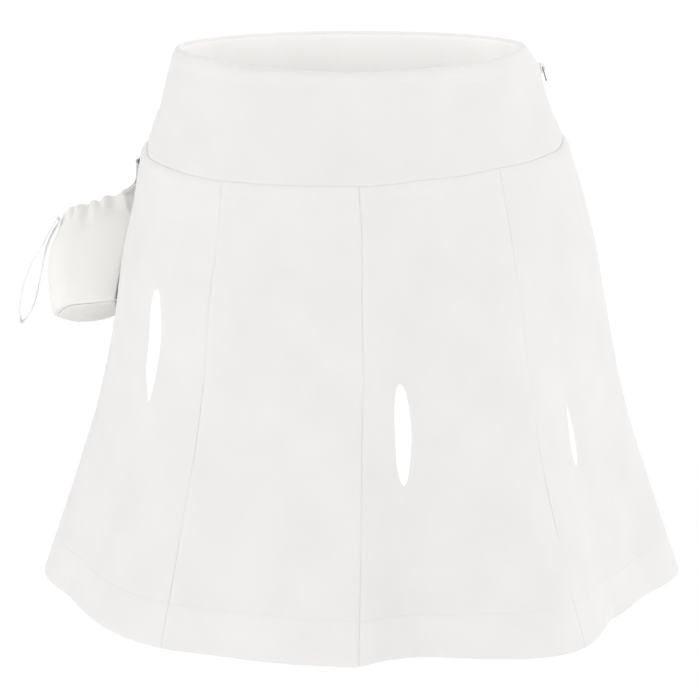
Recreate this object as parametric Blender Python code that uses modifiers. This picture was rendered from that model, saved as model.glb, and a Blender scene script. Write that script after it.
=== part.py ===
"""A flared golf skirt of eight gores under a wide yoke, in its worn form, with a ball pouch at one hip.

Metres, +Z up. The origin is the centre of the waist opening at the rim. -Y is the front and +X is the
wearer's left. Angles go round the body in degrees: 0 is the centre front, 90 the wearer's left side.
Tables are in millimetres.
"""
import math

import bmesh
import bpy
import numpy as np
from mathutils import Matrix, Vector

MM = 0.001
WELD = 0.001                # points closer than this are one
ANGLE_STEP = 0.6            # degrees and share between points that give a face's slope
SHARE_STEP = 0.02
SEAM_GAP = 0.36             # clear space between neighbouring pieces
CLOTH = 1.6                 # one layer of double-knit
YOKE_WALL = 2.6             # two layers, fused
HEM_WALL = 2.8              # the turned-up hem, two layers
HEM_DEPTH = 31.0
ALLOWANCE_DEPTH = 8.5       # band under the yoke seam where the allowance is pressed down
ALLOWANCE_ROWS = (
    # share of the depth, rise, extra wall
    (0.45, 0.5, 2.0),
    (1.0, 0.5, 1.2),
    (1.25, 0.0, 0.0),
)
SEAM_BULK = 0.4             # a gore's top edge is thicker than the yoke by this

SKIRT_COLOUR = (0.84, 0.83, 0.81)
POUCH_COLOUR = (0.82, 0.81, 0.78)
RIBBON_COLOUR = (0.85, 0.85, 0.84)
CLOTH_ROUGHNESS = 0.9
RING_COLOUR = (0.5, 0.5, 0.5)
ZIP_COLOUR = (0.75, 0.75, 0.74)
METAL_ROUGHNESS = 0.3
SHARP_ANGLE = 40.0          # a steeper turn between two faces is an edge, the rest is smooth

# Outer form of the body of the garment: a row for each level.
SECTIONS = (
    # height, half_width, front_depth, back_depth, shift_x
    (0.0, 122.0, 95.0, 90.0, 0.0),
    (-12.0, 126.5, 97.0, 92.0, 0.2),
    (-35.0, 133.2, 102.0, 99.0, 0.8),
    (-62.0, 143.5, 109.0, 111.0, 1.8),
    (-75.0, 147.5, 113.0, 117.0, 2.2),
    (-110.0, 157.0, 121.0, 127.0, 4.4),
    (-150.0, 167.2, 130.0, 134.0, 4.8),
    (-200.0, 176.2, 139.0, 141.0, 5.9),
    (-250.0, 187.6, 149.0, 150.0, 5.7),
    (-310.0, 207.0, 162.0, 164.0, 5.8),
    (-382.0, 232.0, 176.0, 180.0, 6.0),
)

# Height of the rim, the yoke seam and the hem round the body.
RIM = (
    # angle, height
    (-90.0, 2.0), (-58.0, 2.5), (-30.0, -0.8), (0.0, -1.8), (34.0, 0.0), (74.0, 5.5),
    (90.0, -7.5), (106.0, 1.5), (180.0, 0.0), (225.0, 0.5),
)
YOKE_SEAM = (
    # angle, height
    (-90.0, -64.0), (-74.0, -70.5), (-37.0, -74.0), (0.0, -73.4), (24.0, -69.5), (42.0, -66.6),
    (68.0, -64.0), (90.0, -59.5), (120.0, -67.0), (180.0, -72.0), (235.0, -71.0),
)
HEM = (
    # angle, height
    (-90.0, -379.0), (0.0, -382.0), (90.0, -379.0), (180.0, -383.0),
)

# Folds of the flare: each row is a ridge or a valley, pushed out by so much at the hem.
FOLDS = (
    # angle, out
    (-112.0, 5.0), (-89.0, -1.0), (-70.0, -14.5), (-35.0, 7.0), (-24.0, -1.0), (-14.0, 1.0),
    (-4.0, 1.5), (9.0, -23.0), (32.0, 24.0), (56.0, -22.0), (70.0, -24.0), (89.0, -1.0),
    (112.0, 7.0), (134.0, -10.0), (158.0, 9.0), (179.0, -7.0), (203.0, 11.0), (226.0, -11.0),
)
FOLD_START = 0.15           # share of the panel's length where the folds begin
FOLD_GROWTH = 1.3
FOLD_LIFT = 0.2             # a hem that swings out rises by this share
CREASE_SHARPNESS = 1.5
EASE_ALL_ROUND = 0.4        # how far the gores' top edge stands out from the yoke
EASE_AT_SIDES = 2.2         # and how much further at the side seams
EASE_FOCUS = 8              # higher keeps the side ease closer to the seams
EASE_SHARE = 0.3            # share of the panel's length over which the ease runs out
CENTRE_CREASE = (-1.0, 6.0, 5.0)    # angle, out, half width: the sharp corner at the front seam

# Seams between the gores, from the yoke seam through the middle to the hem.
SEAMS = {
    # name: (top_angle, middle_angle, hem_angle)
    "right_side": (-90.0, -90.0, -90.0),
    "front_right": (-37.0, -36.0, -34.7),
    "front": (0.5, 0.0, -0.6),
    "front_left": (40.3, 37.6, 37.2),
    "left_side": (90.0, 90.0, 90.0),
    "back_left": (141.0, 142.0, 143.0),
    "back": (180.0, 180.5, 181.0),
    "back_right": (218.0, 217.0, 216.0),
    "right_side_back": (270.0, 270.0, 270.0),
}
GORES = (
    # name, first seam, last seam, columns
    ("gore_front_side_right", "right_side", "front_right", 12),
    ("gore_front_centre_right", "front_right", "front", 9),
    ("gore_front_centre_left", "front", "front_left", 11),
    ("gore_front_side_left", "front_left", "left_side", 13),
    ("gore_back_side_left", "left_side", "back_left", 12),
    ("gore_back_centre_left", "back_left", "back", 9),
    ("gore_back_centre_right", "back", "back_right", 9),
    ("gore_back_side_right", "back_right", "right_side_back", 12),
)
YOKES = (
    # name, first angle, last angle
    ("yoke_front", -90.0, 90.0),
    ("yoke_back", 90.0, 270.0),
)
HEM_STEP = 0.003            # share of the length over which the turned-up hem begins
GORE_ROWS = (0.06, 0.14, 0.23, 0.33, 0.43, 0.53, 0.62, 0.71, 0.80, 0.87)    # shares above the hem band

# The rolled top edge of the yoke: a row for each step down from the rim.
RIM_ROLL = (
    # depth, push, wall
    (0.0, -1.6, 3.4),
    (0.9, -0.3, 5.2),
    (3.0, 0.8, 6.4),
    (7.5, 0.9, 6.0),
    (10.2, 0.5, 4.0),
    (11.8, 0.0, YOKE_WALL),
)
YOKE_ROWS = (0.32, 0.5, 0.7, 0.87, 1.0)

# Ball pouch at the wearer's right hip, in its own frame: X outwards, Y along the hip, Z up.
POUCH_PLACE = (-190.7, 35.2, -194.6)
POUCH_TURN = 13.3           # degrees from the wearer's right towards the back
POUCH_TILT = 22.6           # the base swings to the front
POUCH_WALL = 1.6
POUCH = (
    # height, shift_out, half_out, half_along, mouth_tilt, gather
    (0.0, -1.7, 21.4, 32.0, 9.0, 0.0),
    (2.2, 0.2, 24.1, 34.5, 9.3, 0.0),
    (18.0, 1.1, 26.1, 35.0, 9.2, 0.0),
    (32.0, 1.0, 27.0, 35.0, 9.0, 0.0),
    (47.6, -0.5, 26.5, 34.0, 8.9, 0.2),
    (58.0, -3.2, 25.0, 32.0, 9.1, 0.8),
    (67.0, -4.8, 23.5, 28.5, 9.5, 1.2),
    (73.8, -5.0, 22.0, 23.5, 10.3, 1.1),
    (73.4, -5.8, 16.5, 18.5, 11.7, 0.9),
    (70.5, -6.0, 12.5, 15.5, 13.3, 0.6),
)
POUCH_GATHERS = 12
GATHER_DRIFT = 1.3          # radians that the gathers wander from even spacing
POUCH_COLUMNS = 60
POUCH_ANGLE_STEP = 3.0
POUCH_SQUARENESS = 2.3
POUCH_BASE_SAG = 4.5        # how far the base panel bulges down
POUCH_BASE_RINGS = ((0.72, 0.55), (0.92, 0.2), (1.0, 0.0))      # width share, sag share

# Ring and straps that hang the pouch from the side seam.
HANG_ANGLE = -107.0
HANG_HEIGHT = -92.0
HANG_OUT = 8.5              # ring centre from the cloth
RING_WIRE = 0.9             # radius of the wire
RING_HALF_WIDTH = 5.0
RING_HALF_HEIGHT = 6.0
RING_SQUARENESS = 6.0
RING_STEPS = 28
STRAP_THICKNESS = 1.0
STRAP_WIDTH = 6.4
STRAP_BIGHT = 1.5           # inner radius of the turn round the wire
STRAP_STEPS = 8             # flats in each turn of a strap
CARRIER_TOP = -69.0
TAB_FOOT_WIDTH = 15.0
TAB_FOOT_TURN = 156.0       # place of the tab on the pouch's mouth, degrees in the pouch's frame
TAB_FOOT_ROW = 7
TAB_FOOT_CLEAR = 0.2
TAB_FOOT_SPREAD = 0.35      # half the turn that the tab's foot spans, radians

# Ribbon loop at the pouch's outer end, seen from the front: X to the right, Z up from its stitches.
RIBBON_PLACE = (-210.6, 45.5, -126.8)
RIBBON_WIDTH = 9.0
RIBBON_YAW = 3.0
RIBBON_PATH = (
    # x, z
    (-1.8, -1.8), (-5.6, -7.8), (-10.3, -15.5), (-14.8, -24.2), (-20.4, -32.8), (-24.9, -43.0),
    (-28.6, -53.8), (-30.8, -65.3), (-31.2, -74.5), (-29.6, -78.4), (-26.2, -75.2), (-22.2, -68.6),
    (-18.8, -59.0), (-16.4, -49.0), (-13.6, -37.0), (-11.2, -27.0), (-8.2, -18.6), (-4.0, -10.4),
    (-0.6, -4.6),
)
RIBBON_STEPS = 3            # pieces between two points of the path

# Concealed zip at the wearer's left: slider, bridge and pull.
ZIP_HEIGHT = -13.5
ZIP_ANGLE = 90.0
ZIP_SLOPE_SHARE = 0.2       # share of the yoke's height that gives the seam's slope at the slider
ZIP_STAND = 1.2             # underside of the slider from the cloth, clear of the rolled edge
SLIDER_SIZE = (0.9, 5.0, 8.0)       # out, along, up
BRIDGE_WIRE = 0.4
BRIDGE_HALF_SPAN = 2.2
BRIDGE_CORNER = 0.5
SLIDER_ROUNDING = 0.25
PULL_THICKNESS = 0.7
PULL_CLEARANCE = 0.3
PULL_LENGTH = 10.0
PULL_TOP_WIDTH = 4.2
PULL_END_WIDTH = 3.2
PULL_EYE_WIDTH = 1.7
PULL_EYE_LENGTH = 2.6
PULL_EYE_RIM = 1.0
PULL_STEPS = 8              # flats round the pull's end


# ---------------------------------------------------------------- tables

def level_value(column, height):
    """A column of SECTIONS at a height, by a monotone cubic."""
    depths = [-row[0] for row in SECTIONS]
    values = [row[column] for row in SECTIONS]
    return monotone(depths, values, -height)


def monotone(places, values, place):
    """Smooth interpolation that never overshoots its rows."""
    steps = np.diff(places)
    slopes = np.diff(values) / steps
    tangents = np.empty(len(places))
    tangents[0] = slopes[0]
    tangents[-1] = slopes[-1]
    for i in range(1, len(places) - 1):
        both = slopes[i - 1] * slopes[i]
        tangents[i] = 2.0 * both / (slopes[i - 1] + slopes[i]) if both > 0 else 0.0
    place = min(max(place, places[0]), places[-1])
    i = min(int(np.searchsorted(places, place, side="right")) - 1, len(places) - 2)
    s = (place - places[i]) / steps[i]
    start = values[i] * (1 + 2 * s) * (1 - s) ** 2 + tangents[i] * steps[i] * s * (1 - s) ** 2
    end = values[i + 1] * s * s * (3 - 2 * s) + tangents[i + 1] * steps[i] * s * s * (s - 1)
    return start + end


def around(rows, angle):
    """The second column of a table of angles, eased from row to row all the way round."""
    first = rows[0][0]
    angle = (angle - first) % 360.0 + first
    for here, after in zip(rows, rows[1:] + ((first + 360.0, rows[0][1]),)):
        if angle <= after[0]:
            s = (angle - here[0]) / (after[0] - here[0])
            return here[1] + (after[1] - here[1]) * s * s * (3 - 2 * s)
    return rows[0][1]


def turn_between(a, b):
    """Degrees from b to a, the short way."""
    return (a - b + 180.0) % 360.0 - 180.0


# ---------------------------------------------------------------- form of the garment

def ring_point(angle, height, push):
    """A point of the body's outer form, pushed out square to the ring."""
    half_width, front, back, shift = (level_value(i, height) for i in (1, 2, 3, 4))
    turn = math.radians(angle)
    depth = front if math.cos(turn) > 0 else back
    out = Vector((depth * math.sin(turn), -half_width * math.cos(turn), 0.0)).normalized()
    ring = Vector((half_width * math.sin(turn) + shift, -depth * math.cos(turn), height))
    return ring + out * push


def hem_push(angle):
    """How far the folds push the hem out."""
    where, out, half_width = CENTRE_CREASE
    crease = max(1.0 - abs(turn_between(angle, where)) / half_width, 0.0)
    return around(FOLDS, angle) + out * crease ** CREASE_SHARPNESS


def yoke_point(angle, share, push=0.0):
    """The yoke's outer face, share 0 at the rim and 1 at the yoke seam."""
    top = around(RIM, angle)
    height = top + (around(YOKE_SEAM, angle) - top) * share
    return ring_point(angle, height, push)


def skirt_ease(angle):
    """How far the gores' top edge stands out from the yoke: most at the side seams."""
    return EASE_ALL_ROUND + EASE_AT_SIDES * abs(math.sin(math.radians(angle))) ** EASE_FOCUS


def skirt_point(angle, share, push=0.0):
    """The gores' outer face, share 0 at the yoke seam and 1 at the hem."""
    top = around(YOKE_SEAM, angle)
    swing = hem_push(angle)
    height = top + (around(HEM, angle) + FOLD_LIFT * swing - top) * share
    fold = swing * max((share - FOLD_START) / (1.0 - FOLD_START), 0.0) ** FOLD_GROWTH
    ease = skirt_ease(angle) * max(1.0 - share / EASE_SHARE, 0.0)
    point = ring_point(angle, max(height, SECTIONS[-1][0]), fold + ease + push)
    point.z = height
    return point


def inward(surface, angle, share):
    """Level direction into the garment, long enough to give a wall of 1 square to the cloth."""
    across = surface(angle + ANGLE_STEP, share) - surface(angle - ANGLE_STEP, share)
    low, high = max(share - SHARE_STEP, 0.0), min(share + SHARE_STEP, 1.0)
    down = surface(angle, high) - surface(angle, low)
    normal = down.cross(across).normalized()
    level = Vector((normal.x, normal.y, 0.0))
    direction = -level / level.length_squared
    middle = Vector((level_value(4, surface(angle, share).z), 0.0, 0.0))
    if direction.dot(middle - surface(angle, share)) < 0:
        direction = -direction
    return direction


def seam_angle(name, share):
    """A gore seam's angle at a share of the panel's length."""
    top, middle, hem = SEAMS[name]
    above = top * (1 - share) * (1 - 2 * share)
    return above + middle * 4 * share * (1 - share) + hem * share * (2 * share - 1)


def half_gap_angle(surface, angle, share):
    """Half the seam gap as an angle."""
    arc = (surface(angle + ANGLE_STEP, share) - surface(angle - ANGLE_STEP, share)).length
    return SEAM_GAP * ANGLE_STEP / arc


# ---------------------------------------------------------------- meshes

def material(name, colour, roughness, metallic=0.0):
    made = bpy.data.materials.new(name)
    made.use_nodes = True
    shader = made.node_tree.nodes["Principled BSDF"]
    shader.inputs["Base Color"].default_value = (*colour, 1.0)
    shader.inputs["Roughness"].default_value = roughness
    shader.inputs["Metallic"].default_value = metallic
    return made


def cloth(name, colour):
    return material(name, colour, CLOTH_ROUGHNESS)


def metal(name, colour):
    return material(name, colour, METAL_ROUGHNESS, 1.0)


def add_object(name, mesh, surface_material, collection):
    """Link a mesh as a named object, its faces turned outwards."""
    shape = bmesh.new()
    shape.from_mesh(mesh)
    bmesh.ops.recalc_face_normals(shape, faces=shape.faces)
    shape.to_mesh(mesh)
    shape.free()
    mesh.shade_smooth()
    mesh.set_sharp_from_angle(angle=math.radians(SHARP_ANGLE))
    mesh.materials.append(surface_material)
    made = bpy.data.objects.new(name, mesh)
    collection.objects.link(made)
    return made


def wall_mesh(name, outer, inner):
    """A closed wall lofted between two grids of points in millimetres, rows by columns."""
    rows, columns = len(outer), len(outer[0])
    shape = bmesh.new()
    skins = [[[shape.verts.new(point * MM) for point in row] for row in grid] for grid in (outer, inner)]
    for skin in skins:
        for r in range(rows - 1):
            for c in range(columns - 1):
                shape.faces.new((skin[r][c], skin[r][c + 1], skin[r + 1][c + 1], skin[r + 1][c]))
    front, back = skins
    for r in (0, rows - 1):
        for c in range(columns - 1):
            shape.faces.new((front[r][c], front[r][c + 1], back[r][c + 1], back[r][c]))
    for c in (0, columns - 1):
        for r in range(rows - 1):
            shape.faces.new((front[r][c], front[r + 1][c], back[r + 1][c], back[r][c]))
    mesh = bpy.data.meshes.new(name)
    shape.to_mesh(mesh)
    shape.free()
    return mesh


def tube_mesh(name, sections, closed_along):
    """A loft through closed sections of equal count, in millimetres: capped, or joined end to end."""
    shape = bmesh.new()
    rings = [[shape.verts.new(point * MM) for point in section] for section in sections]
    pairs = list(zip(rings, rings[1:]))
    if closed_along:
        pairs.append((rings[-1], rings[0]))
    for here, after in pairs:
        for i in range(len(here)):
            j = (i + 1) % len(here)
            shape.faces.new((here[i], here[j], after[j], after[i]))
    if not closed_along:
        shape.faces.new(rings[0])
        shape.faces.new(rings[-1])
    mesh = bpy.data.meshes.new(name)
    shape.to_mesh(mesh)
    shape.free()
    return mesh


# ---------------------------------------------------------------- yoke and gores

def yoke_steps(angle):
    """Rows of the yoke at an angle: share, push and wall."""
    height = (yoke_point(angle, 0.0) - yoke_point(angle, 1.0)).z
    gap = SEAM_GAP / 2 / height
    steps = [(depth / height, push, wall) for depth, push, wall in RIM_ROLL]
    steps += [(min(share, 1.0 - gap), 0.0, YOKE_WALL) for share in YOKE_ROWS]
    return steps


def yoke_angles(first, last):
    """Angles of the yoke's columns: those of the gores sewn to it."""
    angles = [first + half_gap_angle(yoke_point, first, 0.5)]
    for _, first_seam, last_seam, columns in GORES:
        start, end = SEAMS[first_seam][0], SEAMS[last_seam][0]
        if first <= start and end <= last:
            angles += [start + (end - start) * (c + 1) / columns for c in range(columns)]
    angles[-1] -= half_gap_angle(yoke_point, last, 0.5)
    return angles


def make_yoke(name, first, last, collection):
    """Half of the yoke, with its rolled top edge."""
    outer, inner = [], []
    for angle in yoke_angles(first, last):
        column = [yoke_point(angle, share, push) for share, push, _ in yoke_steps(angle)]
        outer.append(column)
        inner.append([point + inward(yoke_point, angle, share) * wall
                      for point, (share, _, wall) in zip(column, yoke_steps(angle))])
    add_object(name, wall_mesh(name, outer, inner), cloth(name, SKIRT_COLOUR), collection)


def gore_steps(angle):
    """Rows of a gore at an angle: share, push and wall."""
    length = (skirt_point(angle, 0.0) - skirt_point(angle, 1.0)).length
    allowance = ALLOWANCE_DEPTH / length
    hem = 1.0 - HEM_DEPTH / length
    steps = [(SEAM_GAP / 2 / length, 0.0, YOKE_WALL + skirt_ease(angle) + SEAM_BULK)]
    steps += [(allowance * depth, rise, CLOTH + extra) for depth, rise, extra in ALLOWANCE_ROWS]
    steps += [(share, 0.0, CLOTH) for share in GORE_ROWS]
    steps += [(hem - HEM_STEP, 0.0, CLOTH), (hem + HEM_STEP, 0.0, HEM_WALL)]
    steps += [((1.0 + hem) / 2, 0.0, HEM_WALL), (1.0, 0.0, HEM_WALL)]
    return steps


def make_gore(name, first_seam, last_seam, columns, collection):
    """One gore, from the yoke seam to the hem."""
    outer, inner = [], []
    count = len(gore_steps(0.0))
    for r in range(count):
        outer_row, inner_row = [], []
        for c in range(columns + 1):
            rough = seam_angle(first_seam, r / count)
            share = gore_steps(rough)[r][0]
            first = seam_angle(first_seam, share)
            last = seam_angle(last_seam, share)
            first += half_gap_angle(skirt_point, first, share)
            last -= half_gap_angle(skirt_point, last, share)
            angle = first + (last - first) * c / columns
            share, push, wall = gore_steps(angle)[r]
            point = skirt_point(angle, share, push)
            outer_row.append(point)
            inner_row.append(point + inward(skirt_point, angle, share) * wall)
        outer.append(outer_row)
        inner.append(inner_row)
    add_object(name, wall_mesh(name, outer, inner), cloth(name, SKIRT_COLOUR), collection)


# ---------------------------------------------------------------- ball pouch

def pouch_frame():
    """World matrix of the pouch's own frame, in millimetres."""
    face_out = Matrix.Rotation(math.radians(180.0 - POUCH_TURN), 4, "Z")
    swing = Matrix.Rotation(math.radians(-POUCH_TILT), 4, "X")
    return Matrix.Translation(Vector(POUCH_PLACE)) @ swing @ face_out


def pouch_turns():
    """Turns of the pouch's columns, in radians."""
    return [2 * math.pi * i / POUCH_COLUMNS for i in range(POUCH_COLUMNS)]


def pouch_point(row, turn):
    """A point of the pouch's outer face at a row of its table, in the pouch's own frame."""
    height, shift, half_out, half_along, tilt, gather = row
    power = 2.0 / POUCH_SQUARENESS
    wave = gather * math.cos(POUCH_GATHERS * turn + GATHER_DRIFT * math.sin(2 * turn))
    c, s = math.cos(turn), math.sin(turn)
    x = math.copysign(abs(c) ** power, c) * (half_out + wave)
    y = math.copysign(abs(s) ** power, s) * (half_along + wave)
    lean = math.radians(tilt)
    return Vector((shift + x * math.cos(lean), y, height - x * math.sin(lean)))


def pouch_normal(index, turn):
    """Outward direction of the pouch's face at a row of its table."""
    step = math.radians(POUCH_ANGLE_STEP)
    low, high = max(index - 1, 0), min(index + 1, len(POUCH) - 1)
    up = pouch_point(POUCH[high], turn) - pouch_point(POUCH[low], turn)
    round_ = pouch_point(POUCH[index], turn + step) - pouch_point(POUCH[index], turn - step)
    return round_.cross(up).normalized()


def narrowed(row, out, along):
    """A row of the pouch's table with its half widths made smaller, without gathers."""
    height, shift, half_out, half_along, tilt, _ = row
    return height, shift, half_out - out, half_along - along, tilt, 0.0


def make_pouch_body(collection):
    """The pouch's wall, gathered to a small mouth."""
    frame = pouch_frame()
    sections = []
    for turn in pouch_turns():
        outer = [pouch_point(row, turn) for row in POUCH]
        inner = [point - pouch_normal(r, turn) * POUCH_WALL for r, point in enumerate(outer)]
        inner[0] = pouch_point(narrowed(POUCH[0], POUCH_WALL, POUCH_WALL), turn)
        sections.append([frame @ point for point in outer + inner[::-1]])
    mesh = tube_mesh("pouch_body", sections, closed_along=True)
    add_object("pouch_body", mesh, cloth("pouch_body", POUCH_COLOUR), collection)


def make_pouch_base(collection):
    """The panel sewn into the bottom of the pouch, sagging a little."""
    frame = pouch_frame()
    _, _, half_out, half_along, _, _ = POUCH[0]
    sections = []
    for drop, rings in ((SEAM_GAP, POUCH_BASE_RINGS), (SEAM_GAP + POUCH_WALL, POUCH_BASE_RINGS[::-1])):
        for width, sag in rings:
            row = narrowed(POUCH[0], half_out * (1 - width), half_along * (1 - width))
            down = Vector((0, 0, drop + POUCH_BASE_SAG * sag))
            sections.append([frame @ (pouch_point(row, turn) - down) for turn in pouch_turns()])
    mesh = tube_mesh("pouch_base", sections, closed_along=False)
    add_object("pouch_base", mesh, cloth("pouch_base", POUCH_COLOUR), collection)


# ---------------------------------------------------------------- ring, straps and ribbon

def strap_mesh(name, path, sides, widths):
    """A flat closed strip: a path of points, and at each the direction and size of its width."""
    count = len(path)
    sections = []
    for i in range(count):
        along = (path[(i + 1) % count] - path[i - 1]).normalized()
        thick = along.cross(sides[i]).normalized() * (STRAP_THICKNESS / 2)
        half = sides[i] * (widths[i] / 2)
        sections.append([path[i] + thick + half, path[i] - thick + half,
                         path[i] - thick - half, path[i] + thick - half])
    return tube_mesh(name, sections, closed_along=True)


def half_turn(centre, radius, away, side):
    """Centre line of a strip passed round a bar that lies along side, on the bar's far side."""
    across = away.cross(side).normalized()
    beyond = side.cross(across)
    turns = [math.pi * i / STRAP_STEPS for i in range(STRAP_STEPS + 1)]
    return [centre + (across * math.cos(turn) + beyond * math.sin(turn)) * radius for turn in turns]


def belt_strap(name, top, bottom, colour, collection):
    """A closed strip round two ends, each given as centre, radius, side and width."""
    down = (bottom[0] - top[0]).normalized()
    path = half_turn(top[0], top[1], -down, top[2]) + half_turn(bottom[0], bottom[1], down, bottom[2])
    points = STRAP_STEPS + 1
    mesh = strap_mesh(name, path, [top[2]] * points + [bottom[2]] * points,
                      [top[3]] * points + [bottom[3]] * points)
    add_object(name, mesh, cloth(name, colour), collection)


def smooth_loop(control, steps):
    """A closed Catmull-Rom curve through the control points."""
    points = []
    count = len(control)
    for i in range(count):
        a, b, c, d = (control[(i + k) % count] for k in (-1, 0, 1, 2))
        for k in range(steps):
            t = k / steps
            points.append(0.5 * (2 * b + (c - a) * t + (2 * a - 5 * b + 4 * c - d) * t * t
                                 + (3 * b - a - 3 * c + d) * t ** 3))
    return points


def skirt_share(angle, height):
    """Share of a gore's length at a height."""
    top = around(YOKE_SEAM, angle)
    return (height - top) / (around(HEM, angle) - top)


def hang_frame():
    """Ring centre, direction out of the cloth and direction of the ring's width."""
    share = skirt_share(HANG_ANGLE, HANG_HEIGHT)
    out = -inward(skirt_point, HANG_ANGLE, share).normalized()
    side = Vector((-out.y, out.x, 0.0))
    return skirt_point(HANG_ANGLE, share) + out * HANG_OUT, out, side


def make_ring(collection):
    """The squarish metal ring between the two straps."""
    centre, _, side = hang_frame()
    curve = bpy.data.curves.new("ring", "CURVE")
    curve.dimensions = "3D"
    curve.bevel_depth = RING_WIRE * MM
    curve.bevel_resolution = 2
    spline = curve.splines.new("POLY")
    spline.points.add(RING_STEPS - 1)
    power = 2.0 / RING_SQUARENESS
    for i in range(RING_STEPS):
        turn = 2 * math.pi * i / RING_STEPS
        c, s = math.cos(turn), math.sin(turn)
        x = math.copysign(abs(c) ** power, c) * RING_HALF_WIDTH
        z = math.copysign(abs(s) ** power, s) * RING_HALF_HEIGHT
        spline.points[i].co = (*((centre + side * x + Vector((0, 0, z))) * MM), 1.0)
    spline.use_cyclic_u = True
    curve.materials.append(metal("ring", RING_COLOUR))
    collection.objects.link(bpy.data.objects.new("ring", curve))


def make_straps(collection):
    """Carrier loop by the side seam and tab on the pouch, each round the ring's wire."""
    centre, out, side = hang_frame()
    bight = STRAP_BIGHT + STRAP_THICKNESS / 2
    pinch = (STRAP_THICKNESS + SEAM_GAP) / 2
    stand = pinch + STRAP_THICKNESS / 2 + SEAM_GAP
    high = centre + Vector((0, 0, RING_HALF_HEIGHT))
    low = centre - Vector((0, 0, RING_HALF_HEIGHT))
    rise = max(rise for _, rise, _ in ALLOWANCE_ROWS)
    sewn = skirt_point(HANG_ANGLE, skirt_share(HANG_ANGLE, CARRIER_TOP)) + out * (stand + rise)
    top = (sewn, pinch, side, STRAP_WIDTH)
    belt_strap("carrier_loop", top, (high, bight, side, STRAP_WIDTH), SKIRT_COLOUR, collection)

    turn = math.radians(TAB_FOOT_TURN)
    clear = pouch_normal(TAB_FOOT_ROW, turn) * (stand + TAB_FOOT_CLEAR)
    foot = pouch_frame() @ (pouch_point(POUCH[TAB_FOOT_ROW], turn) + clear)
    ends = [pouch_point(POUCH[TAB_FOOT_ROW], turn + part * TAB_FOOT_SPREAD) for part in (-1, 1)]
    rim = (pouch_frame().to_3x3() @ (ends[0] - ends[1])).normalized()
    top = (low, bight, side, STRAP_WIDTH)
    belt_strap("pouch_tab", top, (foot, pinch, rim, TAB_FOOT_WIDTH), POUCH_COLOUR, collection)


def make_ribbon(collection):
    """The ribbon loop that hangs from the outer end of the pouch's mouth."""
    side = Matrix.Rotation(math.radians(RIBBON_YAW), 3, "Z") @ Vector((0.0, 1.0, 0.0))
    across = side.cross(Vector((0, 0, 1)))
    control = [Vector(RIBBON_PLACE) + across * x + Vector((0, 0, z)) for x, z in RIBBON_PATH]
    path = smooth_loop(control, RIBBON_STEPS)
    mesh = strap_mesh("ribbon_loop", path, [side] * len(path), [RIBBON_WIDTH] * len(path))
    add_object("ribbon_loop", mesh, cloth("ribbon_loop", RIBBON_COLOUR), collection)


# ---------------------------------------------------------------- zip slider and pull

def zip_frame():
    """World matrix of the slider's frame in millimetres: X out of the cloth, Y along, Z up the seam."""
    top = around(RIM, ZIP_ANGLE)
    share = (ZIP_HEIGHT - top) / (around(YOKE_SEAM, ZIP_ANGLE) - top)
    here = yoke_point(ZIP_ANGLE, share)
    up = (here - yoke_point(ZIP_ANGLE, share + ZIP_SLOPE_SHARE)).normalized()
    along = Vector((0, 1, 0))
    out = along.cross(up).normalized()
    return Matrix.Translation(here) @ Matrix((out, along, up)).transposed().to_4x4()


def pull_axis_height():
    """Height of the pull's bar over the cloth."""
    return ZIP_STAND + SLIDER_SIZE[0] + PULL_CLEARANCE + PULL_THICKNESS / 2


def place_in_metres(made, frame):
    """Give an object a frame whose translation is in millimetres."""
    moved = frame.copy()
    moved.translation = frame.translation * MM
    made.matrix_world = moved


def curve_mesh(name, curve):
    """The closed mesh of a curve."""
    drawn = bpy.data.objects.new(name, curve)
    mesh = bpy.data.meshes.new_from_object(drawn)
    bpy.data.objects.remove(drawn)
    shape = bmesh.new()
    shape.from_mesh(mesh)
    bmesh.ops.remove_doubles(shape, verts=shape.verts, dist=WELD * MM)
    shape.to_mesh(mesh)
    shape.free()
    return mesh


def make_bridge(frame, cutters):
    """The slider's arch, which the pull's bar turns under."""
    top = pull_axis_height() + PULL_THICKNESS / 2 + PULL_CLEARANCE + BRIDGE_WIRE
    foot = ZIP_STAND + SLIDER_SIZE[0] / 2
    span = BRIDGE_HALF_SPAN
    low, near = top - BRIDGE_CORNER, span - BRIDGE_CORNER
    route = ((foot, span), (low, span), (top, near), (top, -near), (low, -span), (foot, -span))
    curve = bpy.data.curves.new("bridge", "CURVE")
    curve.dimensions = "3D"
    curve.bevel_depth = BRIDGE_WIRE * MM
    curve.bevel_resolution = 2
    curve.use_fill_caps = True
    spline = curve.splines.new("POLY")
    spline.points.add(len(route) - 1)
    for point, (x, z) in zip(spline.points, route):
        point.co = (x * MM, 0.0, z * MM, 1.0)
    bridge = bpy.data.objects.new("bridge", curve_mesh("bridge", curve))
    cutters.objects.link(bridge)
    place_in_metres(bridge, frame)
    return bridge


def make_slider(collection, cutters):
    """The slider's plate with its bridge."""
    frame = zip_frame()
    thick = SLIDER_SIZE[0]
    shape = bmesh.new()
    bmesh.ops.create_cube(shape, size=1.0)
    for vert in shape.verts:
        vert.co = Vector([co * size for co, size in zip(vert.co, SLIDER_SIZE)])
        vert.co.x += ZIP_STAND + thick / 2
        vert.co *= MM
    mesh = bpy.data.meshes.new("zip_slider")
    shape.to_mesh(mesh)
    shape.free()
    slider = add_object("zip_slider", mesh, metal("zip_slider", ZIP_COLOUR), collection)
    place_in_metres(slider, frame)
    rounding = slider.modifiers.new("round", "BEVEL")
    rounding.width = SLIDER_ROUNDING * MM
    rounding.segments = 1
    join = slider.modifiers.new("bridge", "BOOLEAN")
    join.operation = "UNION"
    join.solver = "EXACT"
    join.object = make_bridge(frame, cutters)


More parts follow.
